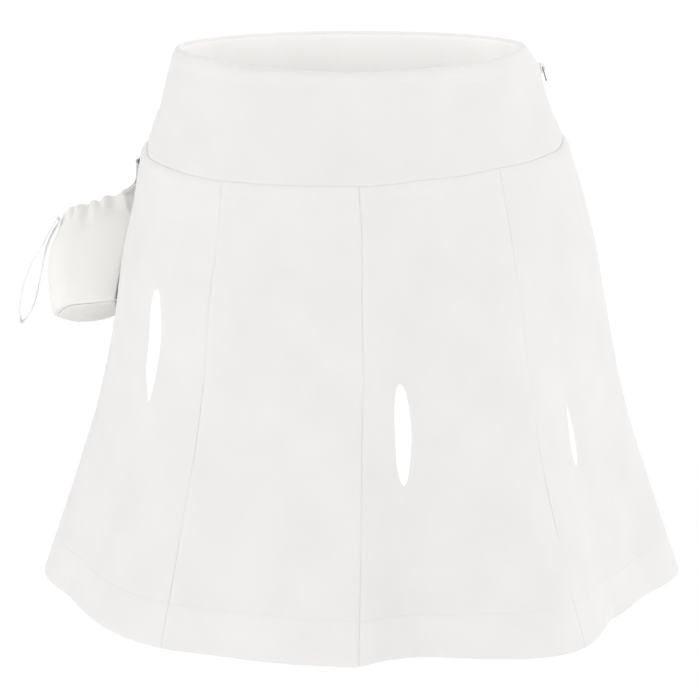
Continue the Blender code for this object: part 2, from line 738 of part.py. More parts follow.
def add_outline(curve, points):
    """A closed straight-sided spline in a flat curve, points in millimetres."""
    spline = curve.splines.new("POLY")
    spline.points.add(len(points) - 1)
    for point, (x, y) in zip(spline.points, points):
        point.co = (x * MM, y * MM, 0.0, 1.0)
    spline.use_cyclic_u = True


def make_pull(collection):
    """The pull: a tapered tab with an eye; its origin is on the hinge axis."""
    bar = PULL_THICKNESS / 2
    top, end, half_eye = PULL_TOP_WIDTH / 2, PULL_END_WIDTH / 2, PULL_EYE_WIDTH / 2
    eye_foot = -bar - PULL_EYE_LENGTH
    shoulder = eye_foot - PULL_EYE_RIM
    turns = [math.pi * i / PULL_STEPS for i in range(PULL_STEPS + 1)]
    arc = [(-end * math.cos(turn), end - PULL_LENGTH - end * math.sin(turn)) for turn in turns]
    outline = [(-top, bar), (-top, shoulder)] + arc + [(top, shoulder), (top, bar)]
    eye = [(-half_eye, -bar), (half_eye, -bar), (half_eye, eye_foot), (-half_eye, eye_foot)]
    curve = bpy.data.curves.new("zip_pull", "CURVE")
    curve.dimensions = "2D"
    curve.fill_mode = "BOTH"
    curve.extrude = PULL_THICKNESS / 2 * MM
    add_outline(curve, outline)
    add_outline(curve, eye)
    pull = add_object("zip_pull", curve_mesh("zip_pull", curve), metal("zip_pull", ZIP_COLOUR), collection)
    flat = Matrix(((0, 0, 1), (1, 0, 0), (0, 1, 0))).to_4x4()     # drawn x along, y up, z out
    stand = Matrix.Translation(Vector((pull_axis_height(), 0, 0)))
    place_in_metres(pull, zip_frame() @ stand @ flat)


# ---------------------------------------------------------------- the whole part

def build():
    for old in list(bpy.data.objects):
        bpy.data.objects.remove(old, do_unlink=True)
    collection = bpy.data.collections.new("golf_skirt")
    bpy.context.scene.collection.children.link(collection)
    cutters = bpy.data.collections.new("cutters")
    bpy.context.scene.collection.children.link(cutters)
    cutters.hide_render = True
    for name, first, last in YOKES:
        make_yoke(name, first, last, collection)
    for name, first, last, columns in GORES:
        make_gore(name, first, last, columns, collection)
    make_pouch_body(collection)
    make_pouch_base(collection)
    make_ring(collection)
    make_straps(collection)
    make_ribbon(collection)
    make_slider(collection, cutters)
    make_pull(collection)


build()
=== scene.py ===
"""The looks of the flared golf skirt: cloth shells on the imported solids, their seams and creases, the
ribbon, the zip, the materials, the light and the camera.

Tables and sizes are in millimetres and degrees; points handed to Blender are in metres. Angles go round
the body: 0 is the centre front, 90 the wearer's left side.
"""
import math

import bmesh
import bpy
import numpy as np
from mathutils import Matrix, Vector


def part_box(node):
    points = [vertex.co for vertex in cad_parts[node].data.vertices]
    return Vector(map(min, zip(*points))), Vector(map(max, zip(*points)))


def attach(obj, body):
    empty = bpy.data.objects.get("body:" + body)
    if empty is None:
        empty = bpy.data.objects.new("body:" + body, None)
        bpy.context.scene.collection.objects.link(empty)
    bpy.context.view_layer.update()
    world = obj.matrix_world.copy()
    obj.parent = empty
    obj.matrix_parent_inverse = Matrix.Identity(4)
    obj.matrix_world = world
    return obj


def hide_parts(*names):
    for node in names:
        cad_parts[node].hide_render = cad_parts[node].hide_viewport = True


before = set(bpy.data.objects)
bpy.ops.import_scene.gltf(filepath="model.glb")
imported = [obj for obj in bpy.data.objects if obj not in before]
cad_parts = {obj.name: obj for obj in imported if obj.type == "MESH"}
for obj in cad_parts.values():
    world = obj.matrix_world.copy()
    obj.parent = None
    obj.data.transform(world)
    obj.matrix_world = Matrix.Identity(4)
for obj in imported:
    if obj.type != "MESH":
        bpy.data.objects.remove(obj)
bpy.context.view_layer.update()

MM = 0.001

# ---------- the garment's form

SECTIONS = (
    # height, half_width, front_depth, back_depth, shift_x
    (0, 122, 95, 90, 0), (-12, 126.5, 97, 92, 0.2), (-35, 133.2, 102, 99, 0.8),
    (-62, 143.5, 109, 111, 1.8), (-75, 147.5, 113, 117, 2.2), (-110, 157, 121, 127, 4.4),
    (-150, 167.2, 130, 134, 4.8), (-200, 176.2, 139, 141, 5.9), (-250, 187.6, 149, 150, 5.7),
    (-310, 207, 162, 164, 5.8), (-382, 232, 176, 180, 6),
)
RIM = (
    # angle, height
    (-90, 2), (-58, 2.5), (-30, -0.8), (0, -1.8), (34, 0), (74, 5.5), (90, -7.5), (106, 1.5), (180, 0),
    (225, 0.5),
)
YOKE_SEAM = (
    # angle, height
    (-90, -64), (-74, -70.5), (-37, -74), (0, -73.4), (24, -69.5), (42, -66.6), (68, -64), (90, -59.5),
    (120, -67), (180, -72), (235, -71),
)
HEM = (
    # angle, height
    (-90, -379), (0, -382), (90, -379), (180, -383),
)
FOLDS = (
    # angle, out: ridges and valleys of the flare, at the hem
    (-112, 5), (-89, -1), (-70, -14.5), (-35, 7), (-24, -1), (-14, 1), (-4, 1.5), (9, -23), (32, 24),
    (56, -22), (70, -24), (89, -1), (112, 7), (134, -10), (158, 9), (179, -7), (203, 11), (226, -11),
)
FOLD_START = 0.15  # share of the panel's length where the folds begin
FOLD_GROWTH = 1.3  # power of their growth down to the hem
FOLD_LIFT = 0.2  # a hem that swings out rises by this share
EASE = (0.4, 2.2, 8)  # how far the gores' top edge stands out: all round, more at the sides, how narrowly
EASE_SHARE = 0.3  # share of the panel's length where that ends
TUCK_SHARE = 0.02  # share over which the gores' top edge swells out from the seam
TUCK_POWER = 0.7
CENTRE_CREASE = (-1.0, 6.0, 5.0, 1.5)  # angle, out, half width, power
ZIP_ANGLE = 90.0
SEAMS = (
    # angle at the yoke, halfway, at the hem, and its groove's depth as a share of EDGE_ROLL's
    (-90, -90, -90, 0.9), (-37, -36, -34.7, 0.6), (0.5, 0, -0.6, 1), (40.3, 37.6, 37.2, 0.3),
    (90, 90, 90, 0.9), (141, 142, 143, 0.5), (180, 180.5, 181, 1), (218, 217, 216, 0.6),
    (270, 270, 270, 0.9),
)
GORES = (  # each between two of the seams, in their order
    "gore_front_side_right", "gore_front_centre_right", "gore_front_centre_left", "gore_front_side_left",
    "gore_back_side_left", "gore_back_centre_left", "gore_back_centre_right", "gore_back_side_right",
)
YOKES = (
    # name, first angle, last angle
    ("yoke_front", -90.0, 90.0),
    ("yoke_back", 90.0, 270.0),
)
SEAM_GAP = 0.02
HEM_DEPTH = 31.0
YOKE_SEAM_DEPTH = (
    # angle, share
    (-90, 0.15), (-55, 0.2), (-20, 0.1), (10, 0.08), (34, 0.2), (55, 0.4), (90, 0.2), (140, 0.3),
    (180, 0.15), (225, 0.3),
)


def monotone_column(rows, column):
    """A column of a table as a smooth function of its first column, never overshooting its rows."""
    order = sorted(rows)
    places = np.array([row[0] for row in order])
    values = np.array([row[column] for row in order])
    steps = np.diff(places)
    slopes = np.diff(values) / steps
    tangents = np.concatenate(([slopes[0]], np.zeros(len(places) - 2), [slopes[-1]]))
    both = slopes[:-1] * slopes[1:]
    total = slopes[:-1] + slopes[1:]
    tangents[1:-1] = np.where(both > 0, 2 * both / np.where(both > 0, total, 1.0), 0.0)

    def value(place):
        place = np.clip(place, places[0], places[-1])
        i = np.clip(np.searchsorted(places, place, side="right") - 1, 0, len(places) - 2)
        s = (place - places[i]) / steps[i]
        start = values[i] * (1 + 2 * s) * (1 - s) ** 2 + tangents[i] * steps[i] * s * (1 - s) ** 2
        return start + values[i + 1] * s * s * (3 - 2 * s) + tangents[i + 1] * steps[i] * s * s * (s - 1)

    return value


HALF_WIDTH, FRONT_DEPTH, BACK_DEPTH, SHIFT = (monotone_column(SECTIONS, i) for i in (1, 2, 3, 4))


def around(rows, angle):
    """The second column of a table of angles, eased from row to row all the way round."""
    angles = np.array([row[0] for row in rows] + [rows[0][0] + 360.0])
    values = np.array([row[1] for row in rows] + [rows[0][1]])
    angle = (np.asarray(angle, float) - angles[0]) % 360.0 + angles[0]
    i = np.clip(np.searchsorted(angles, angle, side="right") - 1, 0, len(rows) - 1)
    s = (angle - angles[i]) / (angles[i + 1] - angles[i])
    return values[i] + (values[i + 1] - values[i]) * s * s * (3 - 2 * s)


def turn_between(a, b):
    """Degrees from b to a, the short way."""
    return (a - b + 180.0) % 360.0 - 180.0


def ring_point(angle, height, push):
    """Points of the body's outer form, pushed out square to the ring."""
    turn = np.radians(angle)
    half_width = HALF_WIDTH(height)
    depth = np.where(np.cos(turn) > 0, FRONT_DEPTH(height), BACK_DEPTH(height))
    out = np.stack([depth * np.sin(turn), -half_width * np.cos(turn)], -1)
    out /= np.linalg.norm(out, axis=-1, keepdims=True)
    x = half_width * np.sin(turn) + SHIFT(height) + out[..., 0] * push
    y = -depth * np.cos(turn) + out[..., 1] * push
    return np.stack([x, y, height + np.zeros_like(x)], -1)


def hem_push(angle):
    """How far the folds push the hem out."""
    where, out, half_width, power = CENTRE_CREASE
    crease = np.maximum(1.0 - np.abs(turn_between(angle, where)) / half_width, 0.0)
    return around(FOLDS, angle) + out * crease ** power


def yoke_point(angle, share, push=0.0):
    """The yoke's outer face, share 0 at the rim and 1 at the yoke seam."""
    top = around(RIM, angle)
    return ring_point(angle, top + (around(YOKE_SEAM, angle) - top) * share, push)


def skirt_ease(angle):
    """How far the gores' top edge stands out from the yoke: most at the side seams."""
    least, more, power = EASE
    return least + more * np.abs(np.sin(np.radians(angle))) ** power


def skirt_point(angle, share, push=0.0):
    """The gores' outer face, share 0 at the yoke seam and 1 at the hem."""
    top = around(YOKE_SEAM, angle)
    swing = hem_push(angle)
    height = top + (around(HEM, angle) + FOLD_LIFT * swing - top) * share
    fold = swing * np.maximum((share - FOLD_START) / (1.0 - FOLD_START), 0.0) ** FOLD_GROWTH
    ease = skirt_ease(angle) * np.maximum(1.0 - share / EASE_SHARE, 0.0)
    ease = ease * np.clip(share / TUCK_SHARE, 0, 1) ** TUCK_POWER
    points = ring_point(angle, np.maximum(height, SECTIONS[-1][0]), fold + ease + push)
    points[..., 2] = height
    return points


def seam_angle(seam, share):
    """A gore seam's angle at a share of the panel's length."""
    top, middle, hem, _ = seam
    above = top * (1 - share) * (1 - 2 * share)
    return above + middle * 4 * share * (1 - share) + hem * share * (2 * share - 1)


# ---------- relief of the cloth

# Creases and soft ridges: from one point to another on the cloth.
CREASES = (
    # angle, height, to_angle, to_height, half_width, rise
    (-52, -96, -60, -330, 16, -1.6), (-20, -120, -17, -360, 14, 0.9), (6, -150, 9, -372, 12, -1.6),
    (20, -110, 27, -350, 16, 1.4), (50, -150, 54, -372, 13, -1.5), (75, -140, 80, -365, 11, 1.2),
    (-80, -120, -82, -340, 9, 0.8), (120, -130, 126, -360, 14, -1.5), (150, -110, 152, -350, 15, 1.2),
    (172, -140, 170, -370, 11, -1.2), (196, -120, 200, -350, 14, 1.3), (236, -130, 230, -365, 14, -1.5),
    (250, -100, 256, -300, 12, 0.9), (40, -76, 46, -112, 6, -0.5), (-37, -80, -31, -118, 6, -0.5),
    (-84, -78, -74, -128, 7, -0.7), (84, -74, 76, -122, 7, -0.7),
)
CREASE_RADIUS = 0.9  # the body's radius at a crease, as a share of its half width
CREASE_SWAY = (0.35, 5.0)  # share of a crease's half width that it sways by, and how often
CREASE_TAPER = 0.8
EDGE_ROLL = (
    # distance, rise: cross-section of a turned seam edge, by distance from the seam
    (0, -0.42), (0.25, -0.22), (0.55, -0.08), (1, 0.03), (1.8, 0.12), (4, 0.12), (7.5, 0.05), (9.5, 0),
)
EDGE_STEPS = tuple(row[0] for row in EDGE_ROLL)
PUCKER = (0.12, 9.0, 7.0)  # rise, pitch, reach from the seam
PUCKER_DRIFT = (1.7, 23.0)  # how far the puckers stray from even, and over what length
UNEVEN = (
    # pitch round, pitch down, rise: slow waves that keep the cloth from looking machined
    (61, 143, 0.22), (37, 88, 0.12), (23, 51, 0.06),
)
UNEVEN_SHIFT = (1.7, 0.6)  # shift of the waves round and down, from one to the next


def crease_relief(points, angle):
    """Rise of the listed creases at points of the cloth."""
    total = np.zeros(angle.shape)
    height = points[..., 2]
    for start, z0, end, z1, half_width, rise in CREASES:
        mean = (start + end) / 2
        scale = np.pi / 180 * HALF_WIDTH(np.asarray((z0 + z1) / 2)) * CREASE_RADIUS
        x = turn_between(angle, mean) * scale
        x0, x1 = (start - mean) * scale, (end - mean) * scale
        length = math.hypot(x1 - x0, z1 - z0)
        ux, uz = (x1 - x0) / length, (z1 - z0) / length
        along = ((x - x0) * ux + (height - z0) * uz) / length
        across = (x - x0) * uz - (height - z0) * ux
        sway = half_width * CREASE_SWAY[0] * np.sin(along * CREASE_SWAY[1] + start)
        bulge = np.sin(np.pi * np.clip(along, 0, 1) ** CREASE_TAPER)
        taper = np.where((along > 0) & (along < 1), np.maximum(bulge, 0.0) ** CREASE_TAPER, 0.0)
        total += rise * taper * np.exp(-((across + sway) / half_width) ** 2)
    return total


def slow_waves(arc, height, phase):
    """Small unevenness of hanging cloth."""
    total = np.zeros(arc.shape)
    round_shift, down_shift = UNEVEN_SHIFT
    for i, (across, down, rise) in enumerate(UNEVEN):
        round_wave = np.sin(2 * np.pi * arc / across + phase * (i + round_shift))
        total += rise * round_wave * np.sin(2 * np.pi * height / down + phase * (i + down_shift))
    return total


def edge_relief(distance, along, phase, depth=1.0):
    """Rise near a turned edge: the roll into the seam and its faint puckers."""
    places, rises = zip(*EDGE_ROLL)
    rise, pitch, reach = PUCKER
    stray, over = PUCKER_DRIFT
    pucker = rise * np.sin(2 * np.pi * along / pitch + stray * np.sin(along / over + phase))
    return depth * (np.interp(distance, places, rises) + pucker * np.exp(-(distance / reach) ** 2))


# ---------- mesh helpers

def normals_of(grid):
    """Outward unit normals of a grid of points, rows running down and columns round to the wearer's left."""
    down = np.gradient(grid, axis=0)
    across = np.gradient(grid, axis=1)
    normal = np.cross(down, across)
    return normal / np.linalg.norm(normal, axis=-1, keepdims=True)


def arc_lengths(grid, axis):
    """Running length along an axis of a grid."""
    steps = np.linalg.norm(np.diff(grid, axis=axis), axis=-1)
    pad = [(1, 0), (0, 0)] if axis == 0 else [(0, 0), (1, 0)]
    return np.cumsum(np.pad(steps, pad), axis=axis)


def add_object(name, data):
    """A new object in the scene."""
    made = bpy.data.objects.new(name, data)
    bpy.context.scene.collection.objects.link(made)
    return made


def mesh_object(name, points, faces, uvs, material):
    """A smooth-shaded object from points in millimetres, quads and a UV (in metres) for each point."""
    mesh = bpy.data.meshes.new(name)
    mesh.from_pydata((points * MM).tolist(), [], faces.tolist())
    layer = mesh.uv_layers.new(name="cloth")
    corner = np.empty(len(mesh.loops), np.int64)
    mesh.loops.foreach_get("vertex_index", corner)
    layer.data.foreach_set("uv", (uvs * MM)[corner].astype(np.float32).ravel())
    mesh.materials.append(material)
    shape = bmesh.new()
    shape.from_mesh(mesh)
    bmesh.ops.recalc_face_normals(shape, faces=shape.faces)
    shape.to_mesh(mesh)
    shape.free()
    mesh.polygons.foreach_set("use_smooth", [True] * len(mesh.polygons))
    return add_object(name, mesh)


def grid_faces(index, closed=False):
    """Quads of a grid of point numbers, joined round its columns when closed."""
    if closed:
        index = np.concatenate([index, index[:, :1]], axis=1)
    a, b = index[:-1, :-1], index[:-1, 1:]
    c, d = index[1:, 1:], index[1:, :-1]
    return np.stack([a, b, c, d], -1).reshape(-1, 4)


def wall_object(name, outer, inner, materials, closed=False, doubled_and_lit=None, turned=0):
    """A closed thin wall from the grids of its outer and inner points, or of its thickness at each.

    materials are the outer face's and, where they differ, the inner face's, the one for the two-layer rows of
    the outer face, and the one for the first rows of the inner face, where the edge turns over. On the skirt
    these three
    are brighter copies of its cloth: painted light on the shaded inside and on the turned edge; the two-layer
    rows are lighter for the two layers and, under the rim, also paint the light on the upward-facing roll.
    """
    rows, columns = outer.shape[:2]
    if inner.ndim == 2:
        inner = outer - normals_of_closed(outer, closed) * inner[..., None]
    points = np.concatenate([outer.reshape(-1, 3), inner.reshape(-1, 3)])
    front = np.arange(rows * columns).reshape(rows, columns)
    back = front + rows * columns
    faces = [grid_faces(front, closed), grid_faces(back, closed)]
    for r in (0, rows - 1):
        faces.append(grid_faces(np.stack([front[r], back[r]]), closed))
    if not closed:
        for c in (0, columns - 1):
            faces.append(grid_faces(np.stack([front[:, c], back[:, c]])))
    u, v = arc_lengths(outer, 1), arc_lengths(outer, 0)
    uv = np.stack([u - u.mean(axis=1, keepdims=True), -v], -1).reshape(-1, 2)
    made = mesh_object(name, points, np.concatenate(faces), np.concatenate([uv, uv]), materials[0])
    if len(materials) > 1:
        for material in materials[1:]:
            made.data.materials.append(material)
        index = np.zeros(len(made.data.polygons), np.int32)
        index[len(faces[0]):2 * len(faces[0])] = 1
        index[len(faces[0]):len(faces[0]) + turned * (columns - 1)] = 3
        if doubled_and_lit is not None:
            index[:len(faces[0])] = np.where(np.repeat(doubled_and_lit, len(faces[0]) // len(doubled_and_lit)), 2, 0)
        made.data.polygons.foreach_set("material_index", index)
    return made


def normals_of_closed(grid, closed):
    """Normals of a grid that may be joined round its columns."""
    if not closed:
        return normals_of(grid)
    padded = np.concatenate([grid[:, -2:], grid, grid[:, :2]], axis=1)
    return normals_of(padded)[:, 2:-2]


# ---------- materials

def node(tree, kind, **values):
    """A shader node with its properties and input values set."""
    made = tree.nodes.new(kind)
    for key, value in values.items():
        if hasattr(made, key):
            setattr(made, key, value)
        else:
            made.inputs[key.replace("_", " ").title()].default_value = value
    return made


def join(tree, *links):
    """Link sockets, each given as a node, its output, the next node and its input."""
    for source, output, target, socket in links:
        tree.links.new(source.outputs[output], target.inputs[socket])


def new_material(name, values):
    """A material with its node tree and shader, the shader's inputs set to some values."""
    made = bpy.data.materials.new(name)
    made.use_nodes = True
    shader = made.node_tree.nodes["Principled BSDF"]
    for key, value in values.items():
        shader.inputs[key].default_value = value
    return made, made.node_tree, shader


def two_tones(tree, colour, darkest, start=0.0, end=1.0):
    """A ramp from a darker tone of a colour up to the colour itself."""
    made = tree.nodes.new("ShaderNodeValToRGB")
    first, last = made.color_ramp.elements
    first.position, last.position = start, end
    first.color = (*[c * darkest for c in colour], 1.0)
    last.color = (*colour, 1.0)
    return made


WAVE_RATE = 2 * math.pi / 20  # scale at which the wave texture's bands are one unit apart
WEAVE_WARP = (0.6, 0.8)  # distortion of the two sets of ribs
WEAVE_SQUASH = 0.8  # pitch of the cross ribs, as a share of the main ones'
WEAVE_TONE = 0.25  # how much the ribs show in the colour
NAP_SIZE = 0.7
TONE_SIZE = 45.0  # size of the slow changes of tone
CLOTH_TONES = (0.94, 0.2, 0.9)  # darkest tone, and where the ramp starts and ends
CLOTH_SURFACE = {"Roughness": 0.9, "Specular IOR Level": 0.2, "Sheen Weight": 0.25, "Sheen Roughness": 0.5}
METAL_WEAR = (1.2, 0.75, 0.15)  # size of the wear, its darkest tone and what it adds to the roughness


def cloth_material(name, colour, pitch=1.9, twill=0.02, fuzz=0.03, slant=45):
    """Woven or knitted cloth: fine diagonal ribs, fuzz and a slow change of tone."""
    made, tree, shader = new_material(name, CLOTH_SURFACE)
    place = node(tree, "ShaderNodeTexCoord")
    turned = node(tree, "ShaderNodeMapping", rotation=(0, 0, math.radians(slant)))
    ribs = node(tree, "ShaderNodeTexWave", wave_type="BANDS", bands_direction="X",
                scale=WAVE_RATE / (pitch * MM), distortion=WEAVE_WARP[0], detail=1.0, detail_scale=2.0)
    across = node(tree, "ShaderNodeTexWave", wave_type="BANDS", bands_direction="Y",
                  scale=WAVE_RATE / (pitch * WEAVE_SQUASH * MM), distortion=WEAVE_WARP[1])
    nap = node(tree, "ShaderNodeTexNoise", scale=1 / (NAP_SIZE * MM), detail=3.0)
    weave = node(tree, "ShaderNodeMath", operation="MULTIPLY")
    first = node(tree, "ShaderNodeBump", strength=1.0, distance=twill * MM)
    second = node(tree, "ShaderNodeBump", strength=1.0, distance=fuzz * MM)
    tone = node(tree, "ShaderNodeTexNoise", scale=1 / (TONE_SIZE * MM), detail=2.0)
    both = node(tree, "ShaderNodeMath", operation="MULTIPLY_ADD")
    both.inputs[1].default_value = WEAVE_TONE
    ramp = two_tones(tree, colour, *CLOTH_TONES)
    join(tree, (place, "UV", turned, "Vector"), (turned, "Vector", ribs, "Vector"),
         (turned, "Vector", across, "Vector"), (place, "UV", nap, "Vector"), (ribs, "Fac", weave, 0),
         (across, "Fac", weave, 1), (weave, "Value", first, "Height"), (nap, "Fac", second, "Height"),
         (first, "Normal", second, "Normal"), (second, "Normal", shader, "Normal"),
         (place, "UV", tone, "Vector"), (weave, "Value", both, 0), (tone, "Fac", both, 2),
         (both, "Value", ramp, "Fac"), (ramp, "Color", shader, "Base Color"))
    return made


def metal_material(name, colour, roughness, scratch, metallic=1.0):
    """Plated or enamelled metal with faint wear."""
    made, tree, shader = new_material(name, {"Metallic": metallic})
    size, darkest, rougher = METAL_WEAR
    place = node(tree, "ShaderNodeTexCoord")
    wear = node(tree, "ShaderNodeTexNoise", scale=1 / (size * MM), detail=4.0)
    ramp = two_tones(tree, colour, darkest)
    rough = node(tree, "ShaderNodeMapRange", to_min=roughness, to_max=roughness + rougher)
    bump = node(tree, "ShaderNodeBump", distance=scratch * MM)
    join(tree, (place, "Object", wear, "Vector"), (wear, "Fac", ramp, "Fac"),
         (ramp, "Color", shader, "Base Color"), (wear, "Fac", rough, "Value"),
         (rough, "Result", shader, "Roughness"), (wear, "Fac", bump, "Height"),
         (bump, "Normal", shader, "Normal"))
    return made


SKIRT_CLOTH = cloth_material("skirt_cloth", (0.732, 0.722, 0.716))
# lighter where two layers of cloth lie; on the band under the rim it also paints the light on the upward-facing
# roll
SKIRT_DOUBLE_AND_LIT = cloth_material("skirt_cloth_double_and_lit", (0.74, 0.73, 0.724))
# painted light: the inner faces are the same cloth as the outside, in a much brighter copy that lights the
# shaded inside of the skirt
SKIRT_INSIDE_PAINTED_LIGHT = cloth_material("skirt_cloth_inside_painted_light", (0.935, 0.925, 0.912), twill=0.03)
# painted light: the turned edge on the inner face is the same cloth as the outside, in a brighter copy, less
# bright than the rest of the inside since it faces up to the light
SKIRT_RIM_PAINTED_LIGHT = cloth_material("skirt_cloth_rim_painted_light", (0.83, 0.82, 0.812))
POUCH_CLOTH = cloth_material("pouch_cloth", (0.80, 0.79, 0.767), pitch=1.6, twill=0.04)
RIBBON_CLOTH = cloth_material("ribbon_cloth", (0.84, 0.84, 0.835), pitch=0.7, twill=0.04, fuzz=0.0, slant=90)
ZIP_METAL = metal_material("zip_metal", (0.86, 0.86, 0.85), 0.3, 0.01, 0.0)
# the pull is dark metal, darker than the white slider, and shows as a dark stroke under it
PULL_METAL = metal_material("pull_metal", (0.24, 0.24, 0.24), 0.35, 0.01)
RING_METAL = metal_material("ring_metal", (0.6, 0.6, 0.6), 0.28, 0.02)
# painted shade: near-black teeth stand in for the shade in the open seam's narrow slot
TEETH_PAINTED_SHADE = metal_material("teeth_painted_shade", (0.12, 0.12, 0.12), 0.4, 0.02)


# ---------- yoke and gores

ROLL = (
    # depth from the rim, outer push, inner push: the rolled top edge
    (0, -2.2, -2.3), (0.12, -1.5, -2.9), (0.4, -0.85, -3.5), (1, -0.15, -4.1), (2, 0.4, -4.5),
    (3.8, 0.8, -4.7), (5.6, 0.95, -4.7), (7.4, 0.85, -4.6), (9, 0.5, -4.5), (10.4, 0.12, -4.4),
    (11.6, -0.12, -4.3), (13, -0.05, -4.2), (16, 0, -4), (20, 0, -3.8), (25, 0, -3.5), (31, 0, -3.2),
)
ROLL_TURNED_ROWS = 4  # rows of the inner face that the outer cloth turns over, given a copy of the cloth brighter than the outside as painted light
RIM_BAND = 10.0  # height of the two-layer band under the rim, whose lighter cloth also paints the light on the upward-facing roll
YOKE_WALL = (60.0, 2.4)  # depth from the rim, and the yoke's wall there
YOKE_LEVEL = -35.0  # height at which the yoke's width is taken
HALF_ROUND = 1.35  # half of the way round, as a share of the width
YOKE_SIDE_DEPTH = 0.6  # how deep its side seams are, as a share of EDGE_ROLL's
YOKE_PHASE = 0.7
TOP_SEAM_PHASE = 2.0
DEGREE_AT_SIDE = 1.7  # length of a degree round the side seam
YOKE_PITCH = 2.8  # of its rows and columns
YOKE_FOOT_POWER = 8  # how late down the yoke its gap at the seam opens
ZIP_LIP_SHARE = 0.06  # share of the yoke's width that its lips draw on
ZIP_LIPS = (
    # height, half opening of the side seam round the zip's slider
    (-40, 0), (-29, 0), (-25, 0.4), (-19, 0.9), (-12, 0.9), (-9.5, 0.4), (-6, 0), (0, 0),
)
GORE_WALL = 1.4
HEM_WALL = 2.6
SEAM_WALL = 2.2
TOP_WALL = 3.0
SEAM_ALLOWANCE = 9.0
GORE_COLUMNS = 54  # between the seam edges
GORE_ROW_PITCH = 2.9
GORE_FINE_STEPS = 240  # points along which a row's length is measured
WAVES_START = 60.0  # distance below the yoke seam over which the slow waves come in
ALLOWANCE_ENDS = (1.3, 0.2)  # distance from a side seam where the allowance starts, and its share at the seam
HEM_ROWS = (29.0, 3.0)  # distances above the hem between which the turn-up's own rows lie
ALLOWANCE = (
    # distance below the yoke seam, rise: the allowance pressed down under the gore
    (0, 0), (0.3, 0.05), (0.7, 0.14), (1.3, 0.24), (2.5, 0.36), (5, 0.4), (7.6, 0.36), (8.8, 0.12),
    (10.2, 0),
)
HEM_LINE = (
    # distance above the hem, rise: the blind-stitched top of the turned-up hem, and its folded edge
    (0, -1.2), (0.35, -0.55), (0.8, -0.2), (1.5, 0.05), (3, 0.12), (29, 0.1), (30.2, 0), (31, -0.28),
    (31.8, 0), (34, 0),
)


def smooth_steps(first, last, pitch):
    """Even steps from one length to another, about a pitch apart, without the ends."""
    count = max(int(round((last - first) / pitch)), 2)
    return np.linspace(first, last, count + 1)[1:-1]


def panel_columns(width, interior):
    """Distances of a panel's columns from its first seam: close at both seams, even between."""
    edge = np.array(EDGE_STEPS)
    middle = np.linspace(edge[-1], width - edge[-1], interior + 2)[1:-1]
    return np.concatenate([edge, middle, width - edge[::-1]])


def yoke_depth(angle, depth, share):
    """The yoke's height, and the place between a depth from its rim (share 0) and its seam (share 1)."""
    height = around(RIM, angle) - around(YOKE_SEAM, angle)
    return height, depth + (height - depth) * share


def make_yoke(name, first, last):
    """Half of the yoke, with its rolled top edge and the lips of cloth beside the zip's slider."""
    roll_depths, _, roll_inner = zip(*ROLL)
    roll_end = roll_depths[-1]
    deep, _ = yoke_depth((first + last) / 2, 0.0, 0.0)
    below = np.concatenate([smooth_steps(roll_end, deep - EDGE_STEPS[-1], YOKE_PITCH),
                            deep - np.array(EDGE_STEPS[::-1])])
    steps = [(depth, push, 0.0) for depth, push, _ in ROLL]
    steps += [(roll_end, 0.0, share) for share in (below - roll_end) / (deep - roll_end)]
    width = 2 * HALF_WIDTH(np.asarray(YOKE_LEVEL)) * HALF_ROUND
    columns = panel_columns(width, int(width / YOKE_PITCH)) / width
    gap = SEAM_GAP / 2 / width * (last - first)
    even = first + gap + (last - first - 2 * gap) * columns
    zip_last = last == ZIP_ANGLE
    near_zip = np.clip(1 - (1 - columns if zip_last else columns) / ZIP_LIP_SHARE, 0, 1) ** 2
    rows, angles, depths = [], [], []
    for depth, push, share in steps:
        side_height = around(RIM, ZIP_ANGLE) - yoke_depth(ZIP_ANGLE, depth, share)[1]
        lips = np.interp(side_height, *zip(*ZIP_LIPS)) / DEGREE_AT_SIDE
        angle = even + (-lips if zip_last else lips) * near_zip
        height, place = yoke_depth(angle, depth, share)
        angles.append(angle)
        depths.append(place - SEAM_GAP / 2 * share ** YOKE_FOOT_POWER)
        rows.append(yoke_point(angle, depths[-1] / height, push))
    grid, angles, depths = np.stack(rows), np.stack(angles), np.stack(depths)
    from_top = arc_lengths(grid, 0)
    around_arc = arc_lengths(grid, 1)
    to_side = np.minimum(around_arc, around_arc[:, -1:] - around_arc)
    rise = edge_relief(to_side, from_top, first, YOKE_SIDE_DEPTH)
    rise += edge_relief(from_top[-1:] - from_top, around_arc, TOP_SEAM_PHASE, around(YOKE_SEAM_DEPTH, angles))
    drape = crease_relief(grid, angles) + slow_waves(around_arc, grid[..., 2], YOKE_PHASE)
    rise[len(ROLL):] += drape[len(ROLL):]
    outer = grid + normals_of(grid) * rise[..., None]
    pushes = np.interp(depths, [*roll_depths, YOKE_WALL[0]], [*roll_inner, -YOKE_WALL[1]])
    inner = yoke_point(angles, depths / yoke_depth(angles, 0.0, 0.0)[0], pushes)
    # the band under the rim: two layers, lighter, and painted light on the upward-facing roll
    doubled_and_lit = from_top[1:].mean(axis=1) < RIM_BAND
    # the inside and its turned edge take brighter copies of the cloth: painted light on the shaded inside
    looks = (SKIRT_CLOTH, SKIRT_INSIDE_PAINTED_LIGHT, SKIRT_DOUBLE_AND_LIT, SKIRT_RIM_PAINTED_LIGHT)
    return wall_object(name + "_cloth", outer, inner, looks, doubled_and_lit=doubled_and_lit, turned=ROLL_TURNED_ROWS), outer


